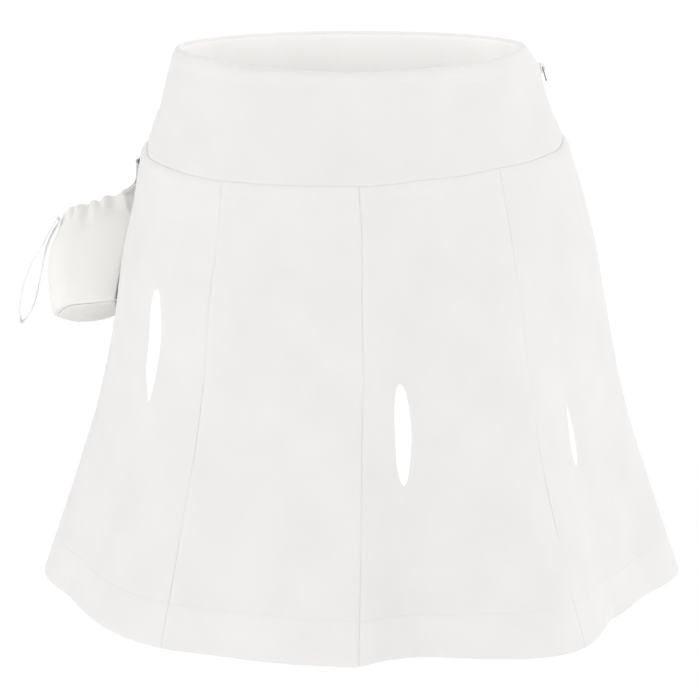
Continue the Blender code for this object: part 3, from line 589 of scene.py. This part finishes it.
def make_gore(name, first_seam, last_seam):
    """One gore, from the yoke seam to the hem, with its seam edges, creases and turned-up hem."""
    middle = (first_seam[1] + last_seam[1]) / 2
    length = float(np.linalg.norm(skirt_point(np.asarray(middle), 0.0) - skirt_point(np.asarray(middle), 1.0)))
    top = [row[0] for row in ALLOWANCE]
    bottom = [length - row[0] for row in HEM_LINE][::-1]
    start, end = (length - row for row in HEM_ROWS)
    downs = np.unique(np.concatenate([top, smooth_steps(top[-1], bottom[0], GORE_ROW_PITCH), bottom,
                                      smooth_steps(start, end, GORE_ROW_PITCH)]))
    shares = downs / length
    rows, angles = [], []
    for share in shares:
        share = share + SEAM_GAP / 2 / length * (1 - share)
        first, last = seam_angle(first_seam, share), seam_angle(last_seam, share)
        even = np.linspace(first, last, GORE_FINE_STEPS)
        arc = arc_lengths(skirt_point(even, share)[None], 1)[0]
        columns = panel_columns(arc[-1] - SEAM_GAP, GORE_COLUMNS) + SEAM_GAP / 2
        angle = np.interp(columns, arc, even)
        angles.append(angle)
        rows.append(skirt_point(angle, share))
    grid, angles = np.stack(rows), np.stack(angles)
    around_arc = arc_lengths(grid, 1)
    to_edge = np.minimum(around_arc, around_arc[:, -1:] - around_arc)
    seam_depth = np.where(around_arc < around_arc[:, -1:] / 2, first_seam[3], last_seam[3])
    down = np.broadcast_to(downs[:, None], grid.shape[:2])
    rise = edge_relief(to_edge, down, middle, seam_depth) + crease_relief(grid, angles)
    rise += edge_relief(down, around_arc, TOP_SEAM_PHASE, around(YOKE_SEAM_DEPTH, angles))
    rise += slow_waves(around_arc, grid[..., 2], middle) * np.clip(down / WAVES_START, 0, 1)
    rise += np.interp(down, *zip(*ALLOWANCE)) * np.clip(to_edge / ALLOWANCE_ENDS[0], ALLOWANCE_ENDS[1], 1)
    rise += np.interp(length - down, *zip(*HEM_LINE))
    outer = grid + normals_of(grid) * rise[..., None]
    wall = np.where(length - down < HEM_DEPTH, HEM_WALL, GORE_WALL)
    wall = np.where(to_edge < SEAM_ALLOWANCE, np.maximum(wall, SEAM_WALL), wall)
    wall = np.where(down < SEAM_ALLOWANCE, TOP_WALL, wall)
    doubled_and_lit = (downs[1:] < ALLOWANCE[-2][0]) | (length - downs[:-1] < HEM_DEPTH)
    inner = grid - normals_of(grid) * wall[..., None]
    # the inside takes a brighter copy of the cloth: painted light on the shaded inside
    looks = (SKIRT_CLOTH, SKIRT_INSIDE_PAINTED_LIGHT, SKIRT_DOUBLE_AND_LIT)
    return wall_object(name + "_cloth", outer, inner, looks, doubled_and_lit=doubled_and_lit), outer


def hand_over(made, cad_node):
    """Put a piece on the skirt's body and hide the CAD node it stands for."""
    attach(made, "skirt")
    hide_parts(cad_node)


def finish_cloth(made, cad_node):
    """Hand a sheet of cloth over."""
    hand_over(made, cad_node)


# ---------- ball pouch

POUCH_PLACE = (-190.7, 35.2, -194.6)
POUCH_TURN = 13.3
POUCH_TILT = 22.6
POUCH = (
    # height, shift_out, half_out, half_along, mouth_tilt
    (0, -1.7, 21.4, 32, 9), (2.2, 0.2, 24.1, 34.5, 9.3), (18, 1.1, 26.1, 35, 9.2), (32, 1, 27, 35, 9),
    (47.6, -0.5, 26.5, 34, 8.9), (58, -3.2, 25, 32, 9.1), (67, -4.8, 23.5, 28.5, 9.5),
    (73.8, -5, 22, 23.5, 10.3), (73.4, -5.8, 16.5, 18.5, 11.7), (70.5, -6, 12.5, 15.5, 13.3),
)
POUCH_SQUARENESS = 2.3
POUCH_HUG = (
    # turn, share: how much of the side by the skirt leans over to rest against it
    (0, 0), (84, 0), (104, 0.5), (124, 1), (180, 1), (225, 0), (300, 0),
)
POUCH_HUG_CLEAR = 2.2  # clearance that is left
POUCH_HUG_MOST = (22.0, 11.0)  # most that the bag and the mouth may lean over
POUCH_HUG_ROWS = (5.0, 7.0)  # rows up to which the bag reaches, and from which the mouth does
POUCH_BASE_SAG = (5.6, 2.4)  # depth of the base panel's sag, and its power
POUCH_BASE_LIP = 0.35  # how far the base panel's edge lies under the wall's
POUCH_BASE_ROLL = (0.27, 0.012)  # rise of its turned edge, and its reach as a share of the width
POUCH_BASE_INSET = 0.325
POUCH_BASE_WIDTHS = (1.0, 0.992, 0.98, 0.965, *np.linspace(0.94, 0.04, 26))
POUCH_SEAM_GROOVE = (0.45, 0.35)  # depth of the base seam's groove in the wall, and its reach in rows
POUCH_FOLDS = (
    # turn, half_width, rise, from_row, to_row, lean: folds drawn in at the mouth, lean in degrees a row
    (20, 7, 1.2, 5, 7.6, 2), (38, 6, -1.3, 5.2, 8, -2), (53, 6, 0.8, 5.6, 8.2, 0),
    (67, 2.8, -1.7, 5.1, 7.4, -3), (79, 6, 0.9, 5.3, 8.2, 0), (89.6, 1.8, -2.2, 4.3, 9, -0.8),
    (88, 5, -0.9, 3.8, 5, 0), (95, 3.4, 1.2, 5.2, 8.3, 0), (100.5, 1.6, -1.3, 6.4, 9, 2),
    (106, 3.4, 1, 5.6, 8.3, 2), (114.5, 4.2, -1.9, 5.4, 8.6, 2.3), (127, 5, 1.6, 5.2, 8.4, 4),
    (160, 6, -1.4, 5, 9, 2), (188, 7, 1.4, 5.3, 8.4, 0), (217, 5, -1.8, 4.6, 9, -2),
    (243, 7, 1.4, 5, 8.4, 0), (268, 5, -1.7, 4.9, 9, 1), (287, 7, 1.3, 5.2, 8.4, 0),
    (306, 5.5, -1.6, 4.5, 9, 2), (327, 6, 1.3, 5.3, 8.4, 0), (347, 5, -1.3, 5.1, 9, 0),
)
POUCH_TOP_ROW = 7.0
POUCH_FOLD_ENDS = (1.3, 0.6, 0.8)  # rows in which a fold comes in, runs past its end and goes out
POUCH_RIM_HOLD = (0.5, 7.3, 0.35)  # share of a fold that the gathered edge loses, its row and reach
POUCH_LIFT = (
    # turn, rise of the mouth's edge
    (0, 0), (40, 0), (60, 0.8), (76, 0.5), (88, -0.1), (95, 1.4), (100, 0.5), (108, 4.2), (115, 4.3),
    (120, 5), (126, 6.6), (134, 8.4), (146, 9.2), (180, 8.5), (205, 4.5), (230, 1.2), (249, 1),
    (268, 0.2), (287, 0.9), (330, 0),
)
POUCH_LIFT_LEAN = 0.3  # a lifted edge leans this share of its rise towards the ring
POUCH_LIFT_ROWS = (5.6, 7.4)
POUCH_SEAM_ROWS = 2.0  # rows up to which the base seam's rise reaches
POUCH_SEAM_LIFT = (
    # turn, rise of the base seam
    (0, -1.5), (40, -2.2), (90, 0), (135, 1.6), (180, 1.2), (230, 0), (300, 0),
)
POUCH_DENTS = (
    # turn, row, half_width, half_rows, rise: soft dents and swells of the hanging bag
    (62, 3, 22, 1.3, 0.5), (120, 2.6, 20, 1.1, -0.7), (95, 1.6, 24, 0.6, 0.6), (30, 1.9, 18, 0.8, -0.5),
    (155, 3.9, 16, 0.9, 0.6), (205, 2.4, 24, 1.1, -0.7), (262, 3.2, 24, 1.2, 0.6),
    (318, 2.2, 22, 1, -0.6), (95, 6.8, 4, 0.13, -0.8), (78, 6.85, 7, 0.12, -0.4), (81, 4.4, 4, 0.5, -0.4),
    (56, 6.8, 8, 0.14, -0.4),
)
POUCH_SUBROWS = 9
POUCH_COLUMNS = 180
POUCH_WALL = 1.3
POUCH_BASE_WALL = 1.0


def pouch_frame():
    """World matrix of the pouch's own frame, in millimetres."""
    face_out = Matrix.Rotation(math.radians(180.0 - POUCH_TURN), 4, "Z")
    swing = Matrix.Rotation(math.radians(-POUCH_TILT), 4, "X")
    return Matrix.Translation(Vector(POUCH_PLACE)) @ swing @ face_out


def in_world(matrix, points):
    """Points carried by a matrix."""
    m = np.array(matrix)
    return points @ m[:3, :3].T + m[:3, 3]


def pouch_ring(values, turn):
    """Points of the pouch's outer face at values of its table's columns."""
    height, shift, half_out, half_along, tilt = values
    c, s = np.cos(turn), np.sin(turn)
    power = 2.0 / POUCH_SQUARENESS
    x = np.sign(c) * np.abs(c) ** power * half_out
    y = np.sign(s) * np.abs(s) ** power * half_along
    lean = math.radians(tilt)
    return np.stack([shift + x * math.cos(lean), y, height - x * math.sin(lean)], -1)


def catmull_rom(a, b, c, d, t):
    """A smooth curve from b to c that also heeds the points before and after."""
    return 0.5 * (2 * b + (c - a) * t + (2 * a - 5 * b + 4 * c - d) * t * t + (3 * b - a - 3 * c + d) * t ** 3)


def spline_rows(rows, subrows):
    """Smooth values between the rows of a table, and the row number of each."""
    table = np.array(rows, float)
    places = np.linspace(0, len(rows) - 1, (len(rows) - 1) * subrows + 1)
    values = []
    for place in places:
        i = min(int(place), len(rows) - 2)
        near = (table[np.clip(i + k, 0, len(rows) - 1)] for k in (-1, 0, 1, 2))
        values.append(catmull_rom(*near, place - i))
    return places, np.array(values)


def eased(value):
    """A smooth step from 0 to 1."""
    value = np.clip(value, 0, 1)
    return value * value * (3 - 2 * value)


def fold_relief(turn, place):
    """Rise of the folds drawn in at the pouch's mouth, and of the bag's soft dents."""
    total = np.zeros((len(place), len(turn)))
    degrees = np.degrees(turn)[None, :]
    row = place[:, None]
    comes_in, past, goes_out = POUCH_FOLD_ENDS
    hold, hold_row, hold_reach = POUCH_RIM_HOLD
    held = 1.0 - hold * np.exp(-((row - hold_row) / hold_reach) ** 2)
    for where, half_width, rise, start, end, lean in POUCH_FOLDS:
        reach = eased((row - start) / comes_in) * eased((end + past - row) / goes_out)
        across = turn_between(degrees, where + lean * (row - POUCH_TOP_ROW)) / half_width
        total += rise * reach * held * np.exp(-across ** 2)
    for where, middle, half_width, half_rows, rise in POUCH_DENTS:
        across, along = turn_between(degrees, where) / half_width, (row - middle) / half_rows
        total += rise * np.exp(-across ** 2 - along ** 2)
    return total


def lean_on_skirt(points, turn, most):
    """World points of the pouch moved over until the side by the skirt rests against it."""
    y, z = points[..., 1], points[..., 2]
    depth = np.where(y < 0, FRONT_DEPTH(z), BACK_DEPTH(z))
    skirt_x = SHIFT(z) - HALF_WIDTH(z) * np.sqrt(np.clip(1.0 - (y / depth) ** 2, 0, 1))
    room = np.clip(skirt_x - points[..., 0] - POUCH_HUG_CLEAR, 0, most)
    moved = points.copy()
    moved[..., 0] += around(POUCH_HUG, np.degrees(turn)) * room
    return moved


def lifted(grid, turn, reach):
    """Points of the pouch's frame with its mouth's edge drawn up towards the ring."""
    lift = around(POUCH_LIFT, np.degrees(turn)) * reach
    moved = grid.copy()
    moved[..., 2] += lift
    moved[..., 0] -= lift * POUCH_LIFT_LEAN * np.clip(-np.cos(turn), 0, 1)
    return moved


def make_pouch_body():
    """The pouch's wall: a smooth loft with uneven folds at its mouth."""
    places, values = spline_rows(POUCH, POUCH_SUBROWS)
    turn = 2 * np.pi * np.arange(POUCH_COLUMNS) / POUCH_COLUMNS
    grid = np.stack([pouch_ring(row, turn) for row in values])[::-1]
    places = places[::-1]
    row = places[:, None]
    start, full = POUCH_LIFT_ROWS
    grid = lifted(grid, turn, eased((row - start) / (full - start)))
    grid[..., 2] += around(POUCH_SEAM_LIFT, np.degrees(turn)) * np.clip(1.0 - row / POUCH_SEAM_ROWS, 0, 1) ** 2
    groove, reach = POUCH_SEAM_GROOVE
    rise = fold_relief(turn, places) - groove * np.exp(-(row / reach) ** 2)
    outer = in_world(pouch_frame(), grid + normals_of_closed(grid, True) * rise[..., None])
    outer = lean_on_skirt(outer, turn, np.interp(row, POUCH_HUG_ROWS, POUCH_HUG_MOST))
    thickness = np.full(outer.shape[:2], POUCH_WALL)
    return wall_object("pouch_body_cloth", outer, thickness, (POUCH_CLOTH,), closed=True), outer


def make_pouch_base():
    """The panel sewn into the pouch's bottom, sagging, with a turned edge."""
    turn = 2 * np.pi * np.arange(POUCH_COLUMNS) / POUCH_COLUMNS
    height, shift, half_out, half_along, tilt = POUCH[0]
    depth, power = POUCH_BASE_SAG
    roll, reach = POUCH_BASE_ROLL
    rows = []
    for width in POUCH_BASE_WIDTHS:
        half_sizes = (half_out - POUCH_BASE_INSET) * width, (half_along - POUCH_BASE_INSET) * width
        ring = pouch_ring((height, shift, *half_sizes, tilt), turn)
        ring[:, 2] += around(POUCH_SEAM_LIFT, np.degrees(turn)) * width ** 2 - POUCH_BASE_LIP
        ring[:, 2] += roll * math.exp(-((1 - width) / reach) ** 2) - depth * (1 - width ** power)
        rows.append(ring)
    outer = in_world(pouch_frame(), np.stack(rows))
    share = np.clip(np.array(POUCH_BASE_WIDTHS)[:, None] * 2 - 1, 0, 1)
    outer = lean_on_skirt(outer, turn, POUCH_HUG_MOST[0] * share ** 2)
    thickness = np.full(outer.shape[:2], POUCH_BASE_WALL)
    return wall_object("pouch_base_cloth", outer, thickness, (POUCH_CLOTH,), closed=True), outer


# ---------- ring, straps, ribbon and zip

HANG_ANGLE = -107.0  # where the pouch hangs from the skirt
HANG_HEIGHT = -92.0
HANG_STEP = (0.05, 0.01)  # steps in angle and share over which the cloth's direction is taken
RING_HALF_HEIGHT = 6.0
CARRIER_TOP = -69.0
STRAP_THICKNESS = 1.0
STRAP_WIDTH = 6.4
STRAP_TURN = 2.0  # radius of the strap's turn round the ring's wire
STRAP_PINCH = 0.56  # half the distance between its two layers below the turn
STRAP_CLOSES = 5.5  # distance over which the layers come together
STRAP_STAND = 2.14  # middle of the carrier loop's foot from the cloth that carries it
STRAP_STEPS = (13, 43, 5)  # points round the turn, down a layer and round the foot
STRAP_SECTION = 28  # points round a strap's cross-section
STRAP_ROUNDNESS = (0.6, 0.35)  # powers of its section's width and thickness
STITCH = (2.2, 0.13)  # pitch of the edge stitching and how far it draws the cloth in
STITCH_LINE = (0.78, 0.09, 0.6, 0.4)  # its place and reach in half widths, its least depth and the rest
TAB_TURN = 137.0
TAB_SPREAD = 14.0  # degrees to each side over which the rim's direction is taken
TAB_LAP = 4.0  # how far the tab's foot reaches down over the pouch
TAB_STAND = 0.9
TAB_ROWS = ((7, 1.0), (6, 0.1))  # the pouch's rows at its mouth and below it, and their share of the lift
TAB_WIDTHS = (
    # share of the tab's length from the ring, width
    (0, 6.4), (0.25, 7.6), (0.5, 10), (0.8, 13.5), (1, 15),
)
TAB_GATHERS = (0.35, 2.0, 0.3, 0.5)  # rise and number of the foot's gathers, their start and full share
GATHER_SHIFT = 0.1
RIBBON_PLACE = (-210.6, 45.5, -126.8)
RIBBON_WIDTH = 9.0
RIBBON_THICKNESS = 0.8
RIBBON_SELVEDGE = (0.1, 0.9)  # rise of the ribbon's edges, and where they start in half widths
RIBBON_YAW = 3.0
RIBBON_TWIST = (5.0, 2, 0.6)  # degrees that its width turns, how often along it, and from where
RIBBON_STEPS = 10  # points between two of its path's
RIBBON_PATH = (
    # x, z
    (-1.8, -1.8), (-5.6, -7.8), (-10.3, -15.5), (-14.8, -24.2), (-20.4, -32.8), (-24.9, -43),
    (-28.6, -53.8), (-30.8, -65.3), (-31.2, -74.5), (-29.6, -78.4), (-26.2, -75.2), (-22.2, -68.6),
    (-18.8, -59), (-16.4, -49), (-13.6, -37), (-11.2, -27), (-8.2, -18.6), (-4, -10.4), (-0.6, -4.6),
)
TEETH = (-17.6, -26.0, 1.1)  # first and last height of the zip's open teeth, and their pitch
TOOTH_HALF = (0.5, 0.7, 0.3)
TOOTH_IN = 0.6  # depth of a tooth's middle under the cloth's face
TOOTH_LEAN = 0.45  # how far it stands off the seam's line
TOOTH_FLARE = 0.12
TOOTH_ROUND = 0.15


def unit(vector):
    """A vector, or each row of an array, at length 1."""
    return vector / np.linalg.norm(vector, axis=-1, keepdims=True)


def strap_object(name, path, sides, widths, thickness, material, gather=None, selvedge=0.0):
    """A closed flat strap swept along a ring of points, with soft rounded edges, stitching and gathers."""
    along = unit(np.roll(path, -1, axis=0) - np.roll(path, 1, axis=0))
    out = unit(np.cross(along, sides))
    sides = unit(np.cross(out, along))
    turn = 2 * np.pi * np.arange(STRAP_SECTION) / STRAP_SECTION
    u, v = (np.sign(wave) * np.abs(wave) ** power
            for wave, power in zip((np.cos(turn), np.sin(turn)), STRAP_ROUNDNESS))
    u = u[None, :]
    length = np.concatenate([[0.0], np.cumsum(np.linalg.norm(np.diff(path, axis=0), axis=-1))])[:, None]
    pitch, draw = STITCH
    line, reach, least, rest = STITCH_LINE
    dent = draw * np.exp(-((np.abs(u) - line) / reach) ** 2)
    dent = dent * (least + rest * np.sign(np.sin(2 * np.pi * length / pitch)))
    rise = v * (thickness / 2 - dent) + np.sign(v) * selvedge * (np.abs(u) > RIBBON_SELVEDGE[1])
    if gather is not None:
        strength, count = gather
        rise = rise + strength[:, None] * np.cos(2 * np.pi * count * (u / 2 + GATHER_SHIFT))
    across = widths[:, None] * u / 2
    grid = path[:, None] + sides[:, None] * across[..., None] + out[:, None] * rise[..., None]
    points = grid.reshape(-1, 3)
    index = np.arange(len(points)).reshape(grid.shape[:2])
    index = np.concatenate([index, index[:1]])
    uv = np.stack([across, length + 0 * across], -1).reshape(-1, 2)
    return mesh_object(name, points, grid_faces(index, closed=True), uv, material)


def strap_layers(top, bottom, top_side, bottom_side, widths, name, material, gather=None):
    """A strap that turns round the ring's wire, and whose two layers lie together down to its foot."""
    cap_steps, layer_steps, foot_steps = STRAP_STEPS
    length = float(np.linalg.norm(bottom - top))
    down = unit(bottom - top)
    steps = np.linspace(0.0, length, layer_steps + 1)[1:]
    half = STRAP_PINCH + (STRAP_TURN - STRAP_PINCH) * (1 - eased(steps / STRAP_CLOSES))
    share = steps / length
    side = unit(top_side * (1 - share)[:, None] + bottom_side * share[:, None])
    out = unit(np.cross(down, side))
    middle = top + down * steps[:, None]
    first_out = unit(np.cross(down, top_side))
    arc = np.linspace(0.0, np.pi, cap_steps)
    cap = top + (np.cos(arc)[:, None] * -first_out - np.sin(arc)[:, None] * down) * STRAP_TURN
    arc = np.linspace(0.0, np.pi, foot_steps + 2)[1:-1]
    foot = bottom + (np.cos(arc)[:, None] * out[-1] + np.sin(arc)[:, None] * down) * STRAP_PINCH
    path = np.concatenate([cap, middle + out * half[:, None], foot, (middle - out * half[:, None])[::-1]])
    sides = np.concatenate([np.repeat(top_side[None], cap_steps, 0), side,
                            np.repeat(side[-1:], foot_steps, 0), side[::-1]])
    place = np.concatenate([np.zeros(cap_steps), share, np.ones(foot_steps), share[::-1]])
    width = np.interp(place, *zip(*widths))
    gathers = None
    if gather is not None:
        rise, count, start, full = gather
        layer = np.repeat([1.0, 0.0, -1.0], [cap_steps + layer_steps, foot_steps, layer_steps])
        gathers = (rise * eased((place - start) / full) * layer, count)
    return strap_object(name, path, sides, width, STRAP_THICKNESS, material, gathers)


def hang_direction():
    """The level direction out of the cloth where the pouch hangs."""
    top = around(YOKE_SEAM, HANG_ANGLE)
    share = (HANG_HEIGHT - top) / (around(HEM, HANG_ANGLE) - top)
    turn, step = HANG_STEP
    a, b = skirt_point(HANG_ANGLE - turn, share), skirt_point(HANG_ANGLE + turn, share)
    c, d = skirt_point(np.asarray(HANG_ANGLE), share - step), skirt_point(np.asarray(HANG_ANGLE), share + step)
    out = np.cross(d - c, b - a)
    return unit(np.array([out[0], out[1], 0.0]))


def make_straps():
    """Carrier loop on the side gore and tab on the pouch, each round the ring's wire."""
    low_corner, high_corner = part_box("ring")
    centre = (np.array(low_corner) + np.array(high_corner)) / 2 / MM
    out = hang_direction()
    side = np.array([-out[1], out[0], 0.0])
    high, low = centre + [0, 0, RING_HALF_HEIGHT], centre - [0, 0, RING_HALF_HEIGHT]
    top = around(YOKE_SEAM, HANG_ANGLE)
    share = (CARRIER_TOP - top) / (around(HEM, HANG_ANGLE) - top)
    sewn = skirt_point(np.asarray(HANG_ANGLE), share) + out * STRAP_STAND
    even = ((0.0, STRAP_WIDTH), (1.0, STRAP_WIDTH))
    loop = strap_layers(high, sewn, side, side, even, "carrier_loop_cloth", SKIRT_CLOTH)
    turns = np.radians([TAB_TURN, TAB_TURN - TAB_SPREAD, TAB_TURN + TAB_SPREAD])
    rings = (lifted(pouch_ring(POUCH[row], turns), turns, reach) for row, reach in TAB_ROWS)
    places, below = (lean_on_skirt(in_world(pouch_frame(), ring), turns, POUCH_HUG_MOST[1]) for ring in rings)
    rim = unit(places[1] - places[2])
    outward = unit(np.cross(places[0] - below[0], places[1] - places[2]))
    outward = -outward if outward[1] > 0 else outward
    foot = places[0] + outward * TAB_STAND - [0.0, 0.0, TAB_LAP]
    tab = strap_layers(low, foot, side, rim, TAB_WIDTHS, "pouch_tab_cloth", POUCH_CLOTH, TAB_GATHERS)
    hand_over(loop, "carrier_loop")
    hand_over(tab, "pouch_tab")
    return loop, tab


def make_ribbon():
    """The ribbon loop that hangs from the outer end of the pouch's mouth."""
    yaw = math.radians(RIBBON_YAW)
    side = np.array([-math.sin(yaw), math.cos(yaw), 0.0])
    across = np.cross(side, [0.0, 0.0, 1.0])
    control = np.array([np.array(RIBBON_PLACE) + across * x + [0.0, 0.0, z] for x, z in RIBBON_PATH])
    near = (np.roll(control, -k, axis=0)[:, None] for k in (-1, 0, 1, 2))
    path = catmull_rom(*near, (np.arange(RIBBON_STEPS) / RIBBON_STEPS)[None, :, None]).reshape(-1, 3)
    degrees, times, start = RIBBON_TWIST
    twist = np.radians(degrees) * np.sin(2 * np.pi * np.arange(len(path)) / len(path) * times + start)
    sides = np.cos(twist)[:, None] * side + np.sin(twist)[:, None] * across
    widths = np.full(len(path), RIBBON_WIDTH)
    made = strap_object("ribbon_loop_cloth", path, sides, widths, RIBBON_THICKNESS, RIBBON_CLOTH,
                        selvedge=RIBBON_SELVEDGE[0])
    hand_over(made, "ribbon_loop")
    return made


def make_zip_teeth():
    """The zip's teeth that show in the open end of the side seam, under the slider, near black: painted shade
    in the narrow slot.
    """
    start, end, pitch = TEETH
    points, faces, uvs = [], [], []
    corner = np.array([(x, y, z) for x in (-1, 1) for y in (-1, 1) for z in (-1, 1)], float)
    quads = np.array([(0, 1, 3, 2), (4, 6, 7, 5), (0, 4, 5, 1), (2, 3, 7, 6), (0, 2, 6, 4), (1, 5, 7, 3)])
    top, seam = around(RIM, ZIP_ANGLE), around(YOKE_SEAM, ZIP_ANGLE)
    for i in range(int((start - end) / pitch)):
        place = yoke_point(np.asarray(ZIP_ANGLE), (start - i * pitch - top) / (seam - top))
        way = 1 if i % 2 else -1
        tooth = place + corner * TOOTH_HALF + [-TOOTH_IN, TOOTH_LEAN * way, 0.0]
        tooth[:, 1] += corner[:, 0] * TOOTH_FLARE * way
        faces.append(quads + i * len(corner))
        points.append(tooth)
        uvs.append(tooth[:, 1:])
    points, faces, uvs = (np.concatenate(part) for part in (points, faces, uvs))
    made = mesh_object("zip_teeth", points, faces, uvs, TEETH_PAINTED_SHADE)
    bevel = made.modifiers.new("round", "BEVEL")
    bevel.width = TOOTH_ROUND * MM
    bevel.segments = 2
    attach(made, "skirt")
    return made


def finish_metal(cad_node, material):
    """Give a kept CAD node its better material, through its object's slots."""
    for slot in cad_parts[cad_node].material_slots:
        slot.link = "OBJECT"
        slot.material = material


# ---------- the pieces

carrier_loop, pouch_tab = make_straps()
ribbon_loop = make_ribbon()
make_zip_teeth()
for metal_node, metal in (("zip_slider", ZIP_METAL), ("zip_pull", PULL_METAL), ("ring", RING_METAL)):
    finish_metal(metal_node, metal)
for yoke_name, first_angle, last_angle in YOKES:
    piece, points = make_yoke(yoke_name, first_angle, last_angle)
    finish_cloth(piece, yoke_name)
for gore_name, seam_a, seam_b in zip(GORES, SEAMS, SEAMS[1:]):
    piece, points = make_gore(gore_name, seam_a, seam_b)
    finish_cloth(piece, gore_name)
piece, points = make_pouch_body()
finish_cloth(piece, "pouch_body")
piece, points = make_pouch_base()
finish_cloth(piece, "pouch_base")


# ---------- stage, light and camera

FLOOR_HEIGHT = -700.0
FLOOR_HALF = 200.0  # in metres
FLOOR_SURFACE = {"Base Color": (0.97, 0.97, 0.97, 1.0), "Roughness": 0.95}
CAMERA_PLACE = (-2.4, -1680.0, 246.6)
CAMERA_DOWN = 15.34
CAMERA_LENS = 126.37
CAMERA_SENSOR = 36.0
WORLD_STRENGTH = 0.3
LIGHTS = (
    # name, azimuth from the front towards the wearer's left, elevation, spread, strength
    ("front", 0, 5, 70, 1.15),
    ("front_left", -32, 8, 60, 0.75),
    ("fill", 35, 8, 70, 0.48),
    ("left", -85, 26.5, 70, 1.32),
    ("right", 95, 25, 70, 1.75),
    ("back", 180, 35, 70, 0.96),
)


def make_floor():
    """A wide pale floor."""
    mesh = bpy.data.meshes.new("floor")
    corners = [(-1, -1), (1, -1), (1, 1), (-1, 1)]
    points = [(x * FLOOR_HALF, y * FLOOR_HALF, FLOOR_HEIGHT * MM) for x, y in corners]
    mesh.from_pydata(points, [], [(0, 1, 2, 3)])
    mesh.materials.append(new_material("floor", FLOOR_SURFACE)[0])
    add_object("floor", mesh)


def make_light(name, azimuth, elevation, spread, strength):
    """A broad soft light, as from a large softbox far away."""
    data = bpy.data.lights.new(name, "SUN")
    data.angle = math.radians(spread)
    data.energy = strength
    light = add_object(name, data)
    light.rotation_euler = (math.radians(90.0 - elevation), 0.0, math.radians(azimuth))


def make_camera():
    """The camera at the photograph's height, distance and angle."""
    data = bpy.data.cameras.new("camera")
    data.lens = CAMERA_LENS
    data.sensor_width = CAMERA_SENSOR
    camera = add_object("camera", data)
    camera.location = Vector(CAMERA_PLACE) * MM
    camera.rotation_euler = (math.radians(90.0 - CAMERA_DOWN), 0, 0)
    bpy.context.scene.camera = camera


make_floor()
for light in LIGHTS:
    make_light(*light)
make_camera()
bpy.context.scene.view_settings.view_transform = "Standard"
world = bpy.data.worlds.new("studio")
world.use_nodes = True
sky = world.node_tree.nodes["Background"]
sky.inputs["Color"].default_value = (1.0, 1.0, 1.0, 1.0)
sky.inputs["Strength"].default_value = WORLD_STRENGTH
bpy.context.scene.world = world
